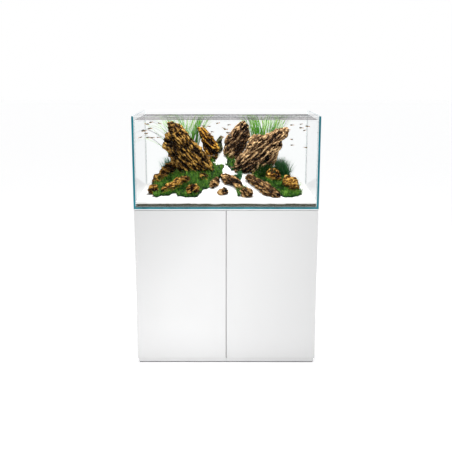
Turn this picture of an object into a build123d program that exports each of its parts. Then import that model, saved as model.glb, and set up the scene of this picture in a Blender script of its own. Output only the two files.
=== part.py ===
"""Rimless glass aquarium on a two-door cabinet stand.

Millimetres, +Z up. The origin is the centre of the footprint, on the floor. Seen from the
front, +X is to the right and +Y goes away towards the back. The doors face -Y.
"""

import os
from math import cos, radians, sin

from build123d import *

# ---------------------------------------------------------------- driving dimensions
WIDTH = 900
DEPTH = 450
STAND_HEIGHT = 795
MAT = 5
TANK_HEIGHT = 450
GLASS = 10
BOARD = 18

PAD = 4
PLINTH_TOP = 22
PLINTH_INSET = 5
BACK_BOARD = 8
BACK_INSET = 7

DOOR = 18
DOOR_GAP = 3
CENTRE_GAP = 3
DOOR_SIDE_REVEAL = 1
DOOR_END_GAP = 2
DOOR_HINGE_CHAMFER = 2.5
DOOR_EDGE_CHAMFER = 0.8

HINGE_FROM_END = 100
AXIS_FROM_EDGE = 8.5
AXIS_FROM_BACK = 8.5
CUP_RADIUS = 17.4
CUP_WALL = 1.1
CUP_DEPTH = 12.5
CUP_FROM_EDGE = 3
HINGE_PIN_RADIUS = 1.5
RUNNING_CLEARANCE = 0.05

LATCH_HEIGHT = 740
PLUNGER_RADIUS = 3.5

SEAM = 5
SOIL_DEPTH = 13
SAND_BASE = 22

# ---------------------------------------------------------------- derived places
HALF_W = WIDTH / 2
FRONT = -DEPTH / 2
BACK = DEPTH / 2
DOOR_BACK = FRONT + DOOR
CARCASS_FRONT = DOOR_BACK + DOOR_GAP
INNER = HALF_W - BOARD
FLOOR_TOP = PLINTH_TOP + BOARD
TOP_UNDER = STAND_HEIGHT - BOARD
BACK_PANEL_FACE = BACK - BACK_INSET - BACK_BOARD
DOOR_LOW = PLINTH_TOP + DOOR_END_GAP
DOOR_HIGH = STAND_HEIGHT - DOOR_END_GAP
DOOR_HINGE_EDGE = HALF_W - DOOR_SIDE_REVEAL
AXIS_X = DOOR_HINGE_EDGE - AXIS_FROM_EDGE
AXIS_Y = DOOR_BACK - AXIS_FROM_BACK
CUP_X = DOOR_HINGE_EDGE - CUP_FROM_EDGE - CUP_RADIUS
HINGE_HEIGHTS = (DOOR_LOW + HINGE_FROM_END, DOOR_HIGH - HINGE_FROM_END)
TANK_FLOOR = STAND_HEIGHT + MAT
TANK_TOP = TANK_FLOOR + TANK_HEIGHT
BED = TANK_FLOOR + GLASS
SOIL_TOP = BED + SOIL_DEPTH
SAND_FRONT = BED + SAND_BASE
INSIDE_X = HALF_W - GLASS
INSIDE_Y = DEPTH / 2 - GLASS
SIDES = {"left": -1, "right": 1}

os.makedirs("parts", exist_ok=True)


def save(piece, name):
    """Label a finished piece and write it to the parts folder."""
    piece.part.label = name
    export_step(piece.part, f"parts/{name}.step")


def block(x, y, z, mode=Mode.ADD):
    """A square block that fills three ranges, for the piece being built."""
    with Locations(((x[0] + x[1]) / 2, (y[0] + y[1]) / 2, (z[0] + z[1]) / 2)):
        Box(abs(x[1] - x[0]), abs(y[1] - y[0]), abs(z[1] - z[0]), mode=mode)


def rod_along_x(x, y, z, radius, mode=Mode.ADD):
    """A round bar between two X limits."""
    with Locations(Location(((x[0] + x[1]) / 2, y, z), (0, 90, 0))):
        Cylinder(radius, abs(x[1] - x[0]), mode=mode)


def rod_along_y(x, y, z, radius, mode=Mode.ADD):
    """A round bar between two Y limits."""
    with Locations(Location((x, (y[0] + y[1]) / 2, z), (90, 0, 0))):
        Cylinder(radius, abs(y[1] - y[0]), mode=mode)


def rod_along_z(x, y, z, radius, mode=Mode.ADD):
    """A round bar between two Z limits."""
    with Locations((x, y, (z[0] + z[1]) / 2)):
        Cylinder(radius, abs(z[1] - z[0]), mode=mode)


# ---------------------------------------------------------------- joinery of the carcass
CAM_RADIUS = 7.5
CAM_DEPTH = 12.5
CAM_FROM_END = 34
CAM_BOLT_RADIUS = 3
CAM_BOLT_IN_SIDE = 10
CAM_ROWS = (-150, 170)
PEG_RADIUS = 2.5
PEG_BORE = 9
PEG_PITCH = 32
PEG_ROWS = (-160, 165)
SHELF_Z = 400
SHELF_PLAY = 1


def cam_bolt_height(panel_z):
    """Cam bolts run along the middle of the panel's thickness."""
    return panel_z + BOARD / 2


def bolt_ends(side):
    """From the bottom of the side panel's bore to the middle of the cam's pocket."""
    return side * (INNER + CAM_BOLT_IN_SIDE), side * (INNER - CAM_FROM_END)


def cam_pocket(panel_z, side, row, mode):
    """The drum of a cam lock, let into the face of the panel that looks into the cabinet."""
    opens_up = panel_z == PLINTH_TOP
    face = panel_z + BOARD if opens_up else panel_z
    bottom = face - CAM_DEPTH if opens_up else face + CAM_DEPTH
    rod_along_z(side * (INNER - CAM_FROM_END), row, (face, bottom), CAM_RADIUS, mode)


def side_panel(side):
    """One side board, with its cam bolt bores, and shelf peg holes on the shelf's side."""
    with BuildPart() as board:
        block((side * INNER, side * HALF_W), (CARCASS_FRONT, BACK), (PLINTH_TOP, STAND_HEIGHT))
        for panel_z in (PLINTH_TOP, TOP_UNDER):
            for row in CAM_ROWS:
                rod_along_x(bolt_ends(side), row, cam_bolt_height(panel_z), CAM_BOLT_RADIUS,
                            Mode.SUBTRACT)
        if side > 0:
            peg_holes(INNER, 1)
    return board


def peg_holes(face, direction):
    """A short column of shelf peg holes in front and behind."""
    for row in PEG_ROWS:
        for step in range(-2, 3):
            height = SHELF_Z - PEG_RADIUS + step * PEG_PITCH
            rod_along_x((face, face + direction * PEG_BORE), row, height, PEG_RADIUS, Mode.SUBTRACT)


for side_name, side in SIDES.items():
    save(side_panel(side), f"side_panel_{side_name}")


def cross_panel(panel_z):
    """The floor or the top of the carcass, between the side panels."""
    with BuildPart() as board:
        block((-INNER, INNER), (CARCASS_FRONT, BACK), (panel_z, panel_z + BOARD))
        for side in SIDES.values():
            for row in CAM_ROWS:
                rod_along_x(bolt_ends(side), row, cam_bolt_height(panel_z), CAM_BOLT_RADIUS,
                            Mode.SUBTRACT)
                cam_pocket(panel_z, side, row, Mode.SUBTRACT)
    return board


save(cross_panel(PLINTH_TOP), "floor_panel")
save(cross_panel(TOP_UNDER), "top_panel")

# Cam drums and the bolts that they pull.
with BuildPart() as cam_locks:
    for panel_z in (PLINTH_TOP, TOP_UNDER):
        for side in SIDES.values():
            for row in CAM_ROWS:
                cam_pocket(panel_z, side, row, Mode.ADD)
save(cam_locks, "cam_locks")

with BuildPart() as cam_bolts:
    for panel_z in (PLINTH_TOP, TOP_UNDER):
        for side in SIDES.values():
            for row in CAM_ROWS:
                rod_along_x(bolt_ends(side), row, cam_bolt_height(panel_z), CAM_BOLT_RADIUS)
    add(cam_locks.part, mode=Mode.SUBTRACT)
save(cam_bolts, "cam_bolts")

# Upright board between the two compartments. The doors meet in front of it.
with BuildPart() as centre_divider:
    block((-BOARD / 2, BOARD / 2), (CARCASS_FRONT, BACK_PANEL_FACE), (FLOOR_TOP, TOP_UNDER))
    peg_holes(BOARD / 2, -1)
save(centre_divider, "centre_divider")

# ---------------------------------------------------------------- back panel and hose openings
HOSE_X = 220
HOSE_Z = 690
HOSE_HOLE_RADIUS = 40
GROMMET_BORE = 34
GROMMET_FLANGE = 46
GROMMET_FLANGE_THICK = 2.5

with BuildPart() as back_panel:
    block((-INNER, INNER), (BACK_PANEL_FACE, BACK_PANEL_FACE + BACK_BOARD), (FLOOR_TOP, TOP_UNDER))
    for side in SIDES.values():
        rod_along_y(side * HOSE_X, (BACK_PANEL_FACE, BACK), HOSE_Z, HOSE_HOLE_RADIUS,
                    Mode.SUBTRACT)
save(back_panel, "back_panel")

with BuildPart() as cable_grommets:
    for side in SIDES.values():
        outer = BACK_PANEL_FACE + BACK_BOARD
        rod_along_y(side * HOSE_X, (BACK_PANEL_FACE, outer), HOSE_Z, HOSE_HOLE_RADIUS)
        rod_along_y(side * HOSE_X, (outer, outer + GROMMET_FLANGE_THICK), HOSE_Z, GROMMET_FLANGE)
        rod_along_y(side * HOSE_X, (BACK_PANEL_FACE, BACK), HOSE_Z, GROMMET_BORE, Mode.SUBTRACT)
save(cable_grommets, "cable_grommets")

# ---------------------------------------------------------------- shelf on its pegs
SHELF_FRONT = -180
PEG_OUT = 8

with BuildPart() as shelf:
    block((BOARD / 2 + SHELF_PLAY, INNER - SHELF_PLAY), (SHELF_FRONT, BACK_PANEL_FACE - SHELF_PLAY),
          (SHELF_Z, SHELF_Z + BOARD))
    chamfer(shelf.edges().filter_by(Axis.X).group_by(Axis.Y)[0], DOOR_EDGE_CHAMFER)
save(shelf, "shelf")

with BuildPart() as shelf_pins:
    for row in PEG_ROWS:
        for inner_end, outer_end in ((BOARD / 2 - PEG_BORE, BOARD / 2 + PEG_OUT),
                                     (INNER + PEG_BORE, INNER - PEG_OUT)):
            rod_along_x((inner_end, outer_end), row, SHELF_Z - PEG_RADIUS, PEG_RADIUS)
save(shelf_pins, "shelf_pins")

# ---------------------------------------------------------------- plinth
PLINTH_X = HALF_W - PLINTH_INSET
PLINTH_Y = DEPTH / 2 - PLINTH_INSET
PLINTH_BOARD = BOARD
PLINTH_CHAMFER = 0.6
PAD_END_INSET = 4
PAD_WIDTH = 16

with BuildPart() as plinth_front:
    block((-PLINTH_X, PLINTH_X), (-PLINTH_Y, -PLINTH_Y + PLINTH_BOARD), (PAD, PLINTH_TOP))
    chamfer(plinth_front.edges().filter_by(Axis.X).group_by(Axis.Y)[0].sort_by(Axis.Z)[0],
            PLINTH_CHAMFER)
save(plinth_front, "plinth_front")

with BuildPart() as plinth_back:
    block((-PLINTH_X, PLINTH_X), (PLINTH_Y - PLINTH_BOARD, PLINTH_Y), (PAD, PLINTH_TOP))
save(plinth_back, "plinth_back")

with BuildPart() as plinth_cross_boards:
    for left in (-PLINTH_X, -PLINTH_BOARD / 2, PLINTH_X - PLINTH_BOARD):
        block((left, left + PLINTH_BOARD), (-PLINTH_Y + PLINTH_BOARD, PLINTH_Y - PLINTH_BOARD),
              (PAD, PLINTH_TOP))
save(plinth_cross_boards, "plinth_cross_boards")

# A long hard strip under the front board of the plinth, and one under the back board.
with BuildPart() as floor_pads:
    pad_y = PLINTH_Y - PLINTH_BOARD / 2
    with Locations((0, -pad_y, PAD / 2), (0, pad_y, PAD / 2)):
        Box(2 * (PLINTH_X - PAD_END_INSET), PAD_WIDTH, PAD)
save(floor_pads, "floor_pads")

# ---------------------------------------------------------------- doors


def door(side):
    """A flat slab door. Its hinge edge is chamfered at the back, to turn past the carcass."""
    with BuildPart() as slab:
        block((side * CENTRE_GAP / 2, side * DOOR_HINGE_EDGE), (FRONT, DOOR_BACK),
              (DOOR_LOW, DOOR_HIGH))
        uprights = slab.edges().filter_by(Axis.Z).group_by(Axis.Y)
        hinge_back_edge = uprights[-1].sort_by(Axis.X)[0 if side < 0 else -1]
        chamfer(hinge_back_edge, DOOR_HINGE_CHAMFER)
        chamfer(slab.faces().sort_by(Axis.Y)[0].edges(), DOOR_EDGE_CHAMFER)
        for height in HINGE_HEIGHTS:
            rod_along_y(side * CUP_X, (DOOR_BACK - CUP_DEPTH, DOOR_BACK), height, CUP_RADIUS,
                        Mode.SUBTRACT)
    return slab


for side_name, side in SIDES.items():
    save(door(side), f"{side_name}_door")

# ---------------------------------------------------------------- concealed hinges
FLANGE = 1.2
FLANGE_HALF_HEIGHT = 26
FLANGE_INNER = 14
FLANGE_OUTER = 38
CUP_FLOOR = 1
PIN_HALF_LENGTH = 11
FINGER = 2.4
FINGER_HALF_HEIGHT = 4
EYE_RADIUS = 2.6
NOSE_START = 20
NOSE_END = 30
NOSE_HALF_HEIGHT = 7
NOSE_FRONT = AXIS_Y - FINGER / 2
ARM_BACK = -142
PLATE_THICK = 2.5
PLATE_HALF_HEIGHT = 22
PLATE_RANGE = (-196, -146)
SCREW_HEAD_RADIUS = 4
SCREW_HEAD = 1.5
SCREW_SPREAD = 16
ADJUSTER_Y = PLATE_RANGE[0] + 12
NOSE_BACK = PLATE_RANGE[0] - 1
PLATE_FACE = INNER - PLATE_THICK
ARM_FACE = HALF_W - NOSE_END
FLANGE_FACE = DOOR_BACK + FLANGE
CUP_SCREW_HEAD = 0.8
CUP_SCREW_RADIUS = 3
CUP_SCREW_SPREAD = 21
CUP_SCREW_INWARD = 6


def hinge_cup(side):
    """A pressed cup with a screw flange, at each hinge height of one door."""
    inner_radius = CUP_RADIUS - CUP_WALL
    floor = DOOR_BACK - CUP_DEPTH
    with BuildPart() as cup:
        for height in HINGE_HEIGHTS:
            rod_along_y(side * CUP_X, (floor, DOOR_BACK), height, CUP_RADIUS)
            block((side * (HALF_W - FLANGE_INNER), side * (HALF_W - FLANGE_OUTER)),
                  (DOOR_BACK, DOOR_BACK + FLANGE),
                  (height - FLANGE_HALF_HEIGHT, height + FLANGE_HALF_HEIGHT))
            rod_along_y(side * CUP_X, (floor + CUP_FLOOR, DOOR_BACK + FLANGE), height,
                        inner_radius, Mode.SUBTRACT)
    return cup


def hinge_pin(side, radius=HINGE_PIN_RADIUS, mode=Mode.ADD):
    """The pin that each hinge of one door turns on."""
    for height in HINGE_HEIGHTS:
        rod_along_z(side * AXIS_X, AXIS_Y, (height - PIN_HALF_LENGTH, height + PIN_HALF_LENGTH),
                    radius, mode)


for side_name, side in SIDES.items():
    with BuildPart() as hinge_pins:
        hinge_pin(side)
    save(hinge_pins, f"hinge_pins_{side_name}")
    with BuildPart() as hinge_cups:
        add(hinge_cup(side).part)
        hinge_pin(side, mode=Mode.SUBTRACT)
    save(hinge_cups, f"hinge_cups_{side_name}")

# Mounting plates, screwed to the side panels.
with BuildPart() as hinge_plates:
    for side in SIDES.values():
        for height in HINGE_HEIGHTS:
            block((side * PLATE_FACE, side * INNER), PLATE_RANGE,
                  (height - PLATE_HALF_HEIGHT, height + PLATE_HALF_HEIGHT))
save(hinge_plates, "hinge_plates")

# Arms: a long strip on the plate, a nose that reaches into the cup, and an eye on the pin.
with BuildPart() as hinge_arms:
    for side in SIDES.values():
        for height in HINGE_HEIGHTS:
            rise = (height - NOSE_HALF_HEIGHT, height + NOSE_HALF_HEIGHT)
            finger_rise = (height - FINGER_HALF_HEIGHT, height + FINGER_HALF_HEIGHT)
            block((side * (HALF_W - NOSE_START), side * ARM_FACE), (NOSE_FRONT, NOSE_BACK), rise)
            block((side * PLATE_FACE, side * ARM_FACE), (NOSE_BACK, ARM_BACK), rise)
            block((side * AXIS_X, side * (HALF_W - NOSE_START)),
                  (AXIS_Y - FINGER / 2, AXIS_Y + FINGER / 2), finger_rise)
            rod_along_z(side * AXIS_X, AXIS_Y, finger_rise, EYE_RADIUS)
        hinge_pin(side, HINGE_PIN_RADIUS + RUNNING_CLEARANCE, Mode.SUBTRACT)
    for side in SIDES.values():
        for height in HINGE_HEIGHTS:
            rod_along_x((side * PLATE_FACE, side * ARM_FACE), ADJUSTER_Y, height, SCREW_HEAD_RADIUS,
                        Mode.SUBTRACT)
save(hinge_arms, "hinge_arms")

# Screws: the plates' pairs and the adjusting screw in each arm.
with BuildPart() as hinge_screws:
    for side in SIDES.values():
        for height in HINGE_HEIGHTS:
            for offset in (-SCREW_SPREAD, SCREW_SPREAD):
                rod_along_x((side * PLATE_FACE, side * (PLATE_FACE - SCREW_HEAD)),
                            sum(PLATE_RANGE) / 2, height + offset, SCREW_HEAD_RADIUS)
            rod_along_x((side * PLATE_FACE, side * ARM_FACE), ADJUSTER_Y, height,
                        SCREW_HEAD_RADIUS)
save(hinge_screws, "hinge_screws")

# Screws that hold the cups' flanges to the doors.
for side_name, side in SIDES.items():
    with BuildPart() as cup_screws:
        for height in HINGE_HEIGHTS:
            for offset in (-CUP_SCREW_SPREAD, CUP_SCREW_SPREAD):
                rod_along_y(side * (CUP_X - CUP_SCREW_INWARD),
                            (FLANGE_FACE, FLANGE_FACE + CUP_SCREW_HEAD), height + offset,
                            CUP_SCREW_RADIUS)
    save(cup_screws, f"cup_screws_{side_name}")

# ---------------------------------------------------------------- push-to-open catches
HOUSING_WIDTH = 16
HOUSING_BACK = -144
PLUNGER_TIP_GAP = 0.3
STRIKE = 1
STRIKE_RADIUS = 8
BUMPER_RADIUS = 3
BUMPER_THICK = 2.6
BUMPER_FROM_END = 60
BUMPER_FROM_GAP = 1
HOUSING_WALL = 2
PLUNGER_END_GAP = 1
PLUNGER_ROUND = 1
BORE_END = HOUSING_BACK - HOUSING_WALL
PLUNGER_END = BORE_END - PLUNGER_END_GAP


def catch_x(side):
    """The catches hang on the divider's faces."""
    return side * (BOARD / 2 + HOUSING_WIDTH / 2)


with BuildPart() as latch_housings:
    for side in SIDES.values():
        block((side * BOARD / 2, side * (BOARD / 2 + HOUSING_WIDTH)), (CARCASS_FRONT, HOUSING_BACK),
              (LATCH_HEIGHT - HOUSING_WIDTH / 2, LATCH_HEIGHT + HOUSING_WIDTH / 2))
        rod_along_y(catch_x(side), (CARCASS_FRONT, BORE_END), LATCH_HEIGHT,
                    PLUNGER_RADIUS + RUNNING_CLEARANCE, Mode.SUBTRACT)
save(latch_housings, "latch_housings")

for side_name, side in SIDES.items():
    with BuildPart() as latch_plunger:
        tip = DOOR_BACK + STRIKE + PLUNGER_TIP_GAP
        rod_along_y(catch_x(side), (tip, PLUNGER_END), LATCH_HEIGHT, PLUNGER_RADIUS)
        fillet(latch_plunger.edges().group_by(Axis.Y)[0], PLUNGER_ROUND)
    save(latch_plunger, f"latch_plunger_{side_name}")
    with BuildPart() as strike_plate:
        rod_along_y(catch_x(side), (DOOR_BACK, DOOR_BACK + STRIKE), LATCH_HEIGHT, STRIKE_RADIUS)
    save(strike_plate, f"strike_plate_{side_name}")

with BuildPart() as door_bumpers:
    for side in SIDES.values():
        for height in (DOOR_LOW + BUMPER_FROM_END, DOOR_HIGH - BUMPER_FROM_END):
            rod_along_y(side * (CENTRE_GAP / 2 + BUMPER_RADIUS + BUMPER_FROM_GAP),
                        (CARCASS_FRONT - BUMPER_THICK, CARCASS_FRONT), height, BUMPER_RADIUS)
save(door_bumpers, "door_bumpers")

# ---------------------------------------------------------------- tank
GLASS_CHAMFER = 0.8
SEAM_BELOW_RIM = 2

with BuildPart() as levelling_mat:
    block((-HALF_W, HALF_W), (FRONT, BACK), (STAND_HEIGHT, TANK_FLOOR))
save(levelling_mat, "levelling_mat")

with BuildPart() as tank_bottom_glass:
    block((-HALF_W, HALF_W), (FRONT, BACK), (TANK_FLOOR, BED))
save(tank_bottom_glass, "tank_bottom_glass")

for side_name, side in SIDES.items():
    with BuildPart() as end_glass:
        block((side * INSIDE_X, side * HALF_W), (FRONT, BACK), (BED, TANK_TOP))
        chamfer(end_glass.edges().group_by(Axis.Z)[-1], GLASS_CHAMFER)
    save(end_glass, f"tank_{side_name}_glass")

for pane_name, facing in {"front": -1, "back": 1}.items():
    with BuildPart() as long_glass:
        block((-INSIDE_X, INSIDE_X), (facing * INSIDE_Y, facing * DEPTH / 2), (BED, TANK_TOP))
        chamfer(long_glass.edges().filter_by(Axis.X).group_by(Axis.Z)[-1], GLASS_CHAMFER)
    save(long_glass, f"tank_{pane_name}_glass")

# Clear sealant, a fillet along the four upright corners and around the bottom pane.
with BuildPart() as silicone_seams:
    block((-INSIDE_X, INSIDE_X), (-INSIDE_Y, INSIDE_Y), (BED, TANK_TOP - SEAM_BELOW_RIM))
    with BuildSketch(Plane.XY.offset(BED)):
        Rectangle(2 * (INSIDE_X - SEAM), 2 * (INSIDE_Y - SEAM))
    with BuildSketch(Plane.XY.offset(BED + SEAM)):
        Rectangle(2 * INSIDE_X, 2 * INSIDE_Y)
    loft(ruled=True, mode=Mode.SUBTRACT)
    with BuildSketch(Plane.XY.offset(BED + SEAM)) as opening:
        Rectangle(2 * INSIDE_X, 2 * INSIDE_Y)
        chamfer(opening.vertices(), SEAM)
    extrude(amount=TANK_HEIGHT, mode=Mode.SUBTRACT)
save(silicone_seams, "silicone_seams")

# ---------------------------------------------------------------- ground in the tank
# Rise of the sand above its level at the front glass, at four distances from the front. It is
# flat along the front and the ends, and climbs to the back between the rocks.
GROUND_Y = (-INSIDE_Y, -100, 60, INSIDE_Y)
GROUND_RISE = {
    0: (0, 6, 103, 258),
    200: (0, 8, 118, 143),
    380: (0, 2, 38, 58),
    INSIDE_X: (0, 0, 2, 4),
}
PATH_HALF_WIDTH = 60
STATIONS = (-INSIDE_X, -380, -200, -PATH_HALF_WIDTH, 0, PATH_HALF_WIDTH, 200, 380, INSIDE_X)


def interpolate(at, places, values):
    """The value at one place, on straight lines between the known ones."""
    for low, high, a, b in zip(places, places[1:], values, values[1:]):
        if at <= high:
            return a + (b - a) * (at - low) / (high - low)
    return values[-1]


def ground_row(x):
    """Height of the sand at each distance from the front, at one place across the tank."""
    rows = zip(*GROUND_RISE.values())
    return [SAND_FRONT + interpolate(abs(x), tuple(GROUND_RISE), row) for row in rows]


def ground(x, y):
    """Height of the sand's surface at one point."""
    return interpolate(y, GROUND_Y, ground_row(x))


with BuildPart() as soil_layer:
    block((-INSIDE_X, INSIDE_X), (-INSIDE_Y, INSIDE_Y), (BED, SOIL_TOP))
    add(silicone_seams.part, mode=Mode.SUBTRACT)
save(soil_layer, "soil_layer")

# ---------------------------------------------------------------- big rocks
ROCK_TAPER = 0.6


def big_rock(outline, middle, half_depth, taken=()):
    """A slab of stone: its upright outline, drawn in to a smaller copy in front and behind."""
    centre_x = sum(x for x, _ in outline) / len(outline)
    centre_z = sum(z for _, z in outline) / len(outline)
    with BuildPart() as stone:
        for step, size in ((-1, ROCK_TAPER), (0, 1), (1, ROCK_TAPER)):
            y = middle + step * half_depth
            with BuildSketch(Plane.XZ.offset(-y)):
                Polygon(*[(centre_x + size * (x - centre_x), centre_z + size * (z - centre_z))
                          for x, z in outline], align=None)
        loft(ruled=True)
        for other in taken:
            add(other.part, mode=Mode.SUBTRACT)
    return stone


# Leans from the sand on its right up to its tip on the left.
left_main_rock = big_rock(
    [(-280, 1210), (-243, 1194), (-185, 1120), (-130, 1059), (-63, 945), (-75, 915),
     (-255, 905), (-266, 964), (-299, 1012), (-321, 1120), (-297, 1199)],
    middle=90, half_depth=55)
save(left_main_rock, "left_main_rock")

left_back_rock = big_rock(
    [(-152, 1162), (-119, 1157), (-71, 1120), (-40, 1060), (-45, 985), (-105, 985), (-132, 1087)],
    middle=150, half_depth=28, taken=(left_main_rock,))
save(left_back_rock, "left_back_rock")

# Leans the other way, from the path up to its tip on the right.
right_main_rock = big_rock(
    [(319, 1161), (323, 1134), (286, 1107), (290, 1073), (253, 994), (206, 935), (140, 900),
     (50, 905), (38, 951), (57, 1005), (112, 1053), (125, 1107), (204, 1126), (259, 1154)],
    middle=85, half_depth=50)
save(right_main_rock, "right_main_rock")

right_back_rock = big_rock(
    [(100, 1209), (117, 1175), (124, 1120), (85, 1030), (75, 985), (5, 985), (-17, 1039),
     (-9, 1100), (18, 1136), (58, 1175)],
    middle=152, half_depth=32, taken=(right_main_rock,))
save(right_back_rock, "right_back_rock")
BIG_ROCKS = (left_main_rock, left_back_rock, right_main_rock, right_back_rock)

# ---------------------------------------------------------------- small stones
STONE_OUTLINE = ((-0.5, -0.2), (-0.2, -0.5), (0.35, -0.42), (0.5, 0.1), (0.15, 0.5), (-0.38, 0.36))
STONE_LEVELS = ((0, 0.8), (0.5, 1), (1, 0.55))
STONE_SUNK = 12
# Place across and along the tank, length, width, height above the sand, turn in degrees.
LEFT_STONES = (
    (-310, 110, 68, 50, 46, 10),
    (-362, 92, 56, 44, 36, 30),
    (-372, -50, 54, 42, 38, -15),
    (-262, -38, 150, 34, 30, 26),
    (-172, -92, 66, 50, 46, 12),
    (-112, 12, 40, 28, 22, 0),
)
RIGHT_STONES = (
    (-58, -24, 66, 24, 20, 58),
    (30, -14, 130, 42, 30, -32),
    (-12, -78, 44, 32, 28, 5),
    (104, -108, 60, 46, 40, -25),
    (184, -58, 200, 54, 38, -40),
    (246, 22, 64, 44, 40, 15),
    (322, 118, 28, 24, 40, 0),
    (330, -30, 74, 56, 62, -20),
)


def stone_group(stones, taken):
    """Loose stones, each a six-sided lump that is widest at half its height."""
    with BuildPart() as group:
        for x, y, length, width, height, turn in stones:
            low = ground(x, y) - STONE_SUNK
            rise = height + STONE_SUNK
            along = (cos(radians(turn)), sin(radians(turn)), 0)
            for level, size in STONE_LEVELS:
                with BuildSketch(Plane(origin=(x, y, low + level * rise), x_dir=along)):
                    Polygon(*[(size * length * u, size * width * v) for u, v in STONE_OUTLINE],
                            align=None)
            loft(ruled=True)
        for other in taken:
            add(other.part, mode=Mode.SUBTRACT)
    return group


small_rocks_left = stone_group(LEFT_STONES, BIG_ROCKS)
small_rocks_right = stone_group(RIGHT_STONES, BIG_ROCKS)
save(small_rocks_left, "small_rocks_left")
save(small_rocks_right, "small_rocks_right")
STONES = (*BIG_ROCKS, small_rocks_left, small_rocks_right)

# ---------------------------------------------------------------- sand
with BuildPart() as sand_bed:
    for x in STATIONS:
        with BuildSketch(Plane.YZ.offset(x)):
            Polygon((-INSIDE_Y, SOIL_TOP), (INSIDE_Y, SOIL_TOP),
                    *reversed(list(zip(GROUND_Y, ground_row(x)))), align=None)
    loft(ruled=True)
    for other in (*STONES, silicone_seams):
        add(other.part, mode=Mode.SUBTRACT)
save(sand_bed, "sand_bed")

# ---------------------------------------------------------------- planting
CARPET_HEIGHT = 16


def carpet(stations):
    """A mat of low plants that lies on the slope, with the stones standing through it."""
    with BuildPart() as mat:
        for x in stations:
            front, behind = ground_row(x)[1:3]
            with BuildSketch(Plane.YZ.offset(x)):
                Polygon((GROUND_Y[1], front), (GROUND_Y[2], behind),
                        (GROUND_Y[2], behind + CARPET_HEIGHT), (GROUND_Y[1], front + CARPET_HEIGHT),
                        align=None)
        loft(ruled=True)
        for other in STONES:
            add(other.part, mode=Mode.SUBTRACT)
    return mat


carpet_left = carpet((-380, -200, -PATH_HALF_WIDTH))
carpet_right = carpet((PATH_HALF_WIDTH, 200, 380))
save(carpet_left, "carpet_left")
save(carpet_right, "carpet_right")


def clump(foot, head, y, z):
    """A stand of leaves that spreads from its foot to its head, above the sand."""
    with BuildPart() as leaves:
        for spread, height in ((foot, z[0]), (head, z[1])):
            with BuildSketch(Plane.XY.offset(height)):
                with Locations((sum(spread) / 2, sum(y) / 2)):
                    Rectangle(spread[1] - spread[0], y[1] - y[0])
        loft(ruled=True)
        for other in (sand_bed, carpet_left, carpet_right, *STONES):
            add(other.part, mode=Mode.SUBTRACT)
    return leaves


save(clump((-285, -160), (-330, -115), (187, 207), (960, 1215)), "tall_grass_left")
save(clump((130, 285), (118, 312), (190, 207), (960, 1215)), "tall_grass_right")
save(clump((290, 345), (280, 350), (60, 130), (880, 1022)), "bush_plant")
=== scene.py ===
"""Looks of a rimless planted aquarium on its two-door cabinet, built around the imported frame.

Metres, +Z up, the doors face -Y. The cabinet, its hinges and catches and the glass panes are the
frame's own nodes in better finishes. The soil, sand, rocks and plants are finer pieces that stand
for the frame's plain solids, and the water and the fish are added.
"""

import logging
import math
from collections.abc import Sequence
from dataclasses import dataclass, field
from enum import Enum

import bpy
import numpy as np
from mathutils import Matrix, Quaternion, Vector


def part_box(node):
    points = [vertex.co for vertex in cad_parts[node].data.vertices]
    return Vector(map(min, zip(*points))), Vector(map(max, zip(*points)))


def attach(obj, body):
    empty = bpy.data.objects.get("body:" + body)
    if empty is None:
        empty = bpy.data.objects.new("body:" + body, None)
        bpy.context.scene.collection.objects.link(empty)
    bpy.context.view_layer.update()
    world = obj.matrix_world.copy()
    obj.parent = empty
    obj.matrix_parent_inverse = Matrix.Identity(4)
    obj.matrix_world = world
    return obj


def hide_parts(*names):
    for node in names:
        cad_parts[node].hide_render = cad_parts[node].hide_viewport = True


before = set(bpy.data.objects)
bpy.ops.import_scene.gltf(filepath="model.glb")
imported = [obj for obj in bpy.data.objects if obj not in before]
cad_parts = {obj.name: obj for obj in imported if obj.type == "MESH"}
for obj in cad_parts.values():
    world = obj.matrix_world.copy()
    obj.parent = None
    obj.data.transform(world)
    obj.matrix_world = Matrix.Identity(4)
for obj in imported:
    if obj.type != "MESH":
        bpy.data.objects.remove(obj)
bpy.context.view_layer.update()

CABINET = "cabinet"
LOG = logging.getLogger("aquarium")
Colour = tuple[float, float, float]
Limits = tuple[float, float]

SQUARE_ON = 0.6      # a face counts as square to an axis from this share of its normal
WET_INDEX = 1.15     # refractive index of stone and leaves against water, for their faint sheen
PANE_GAP = 0.002     # leaves keep this far from the glass


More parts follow.
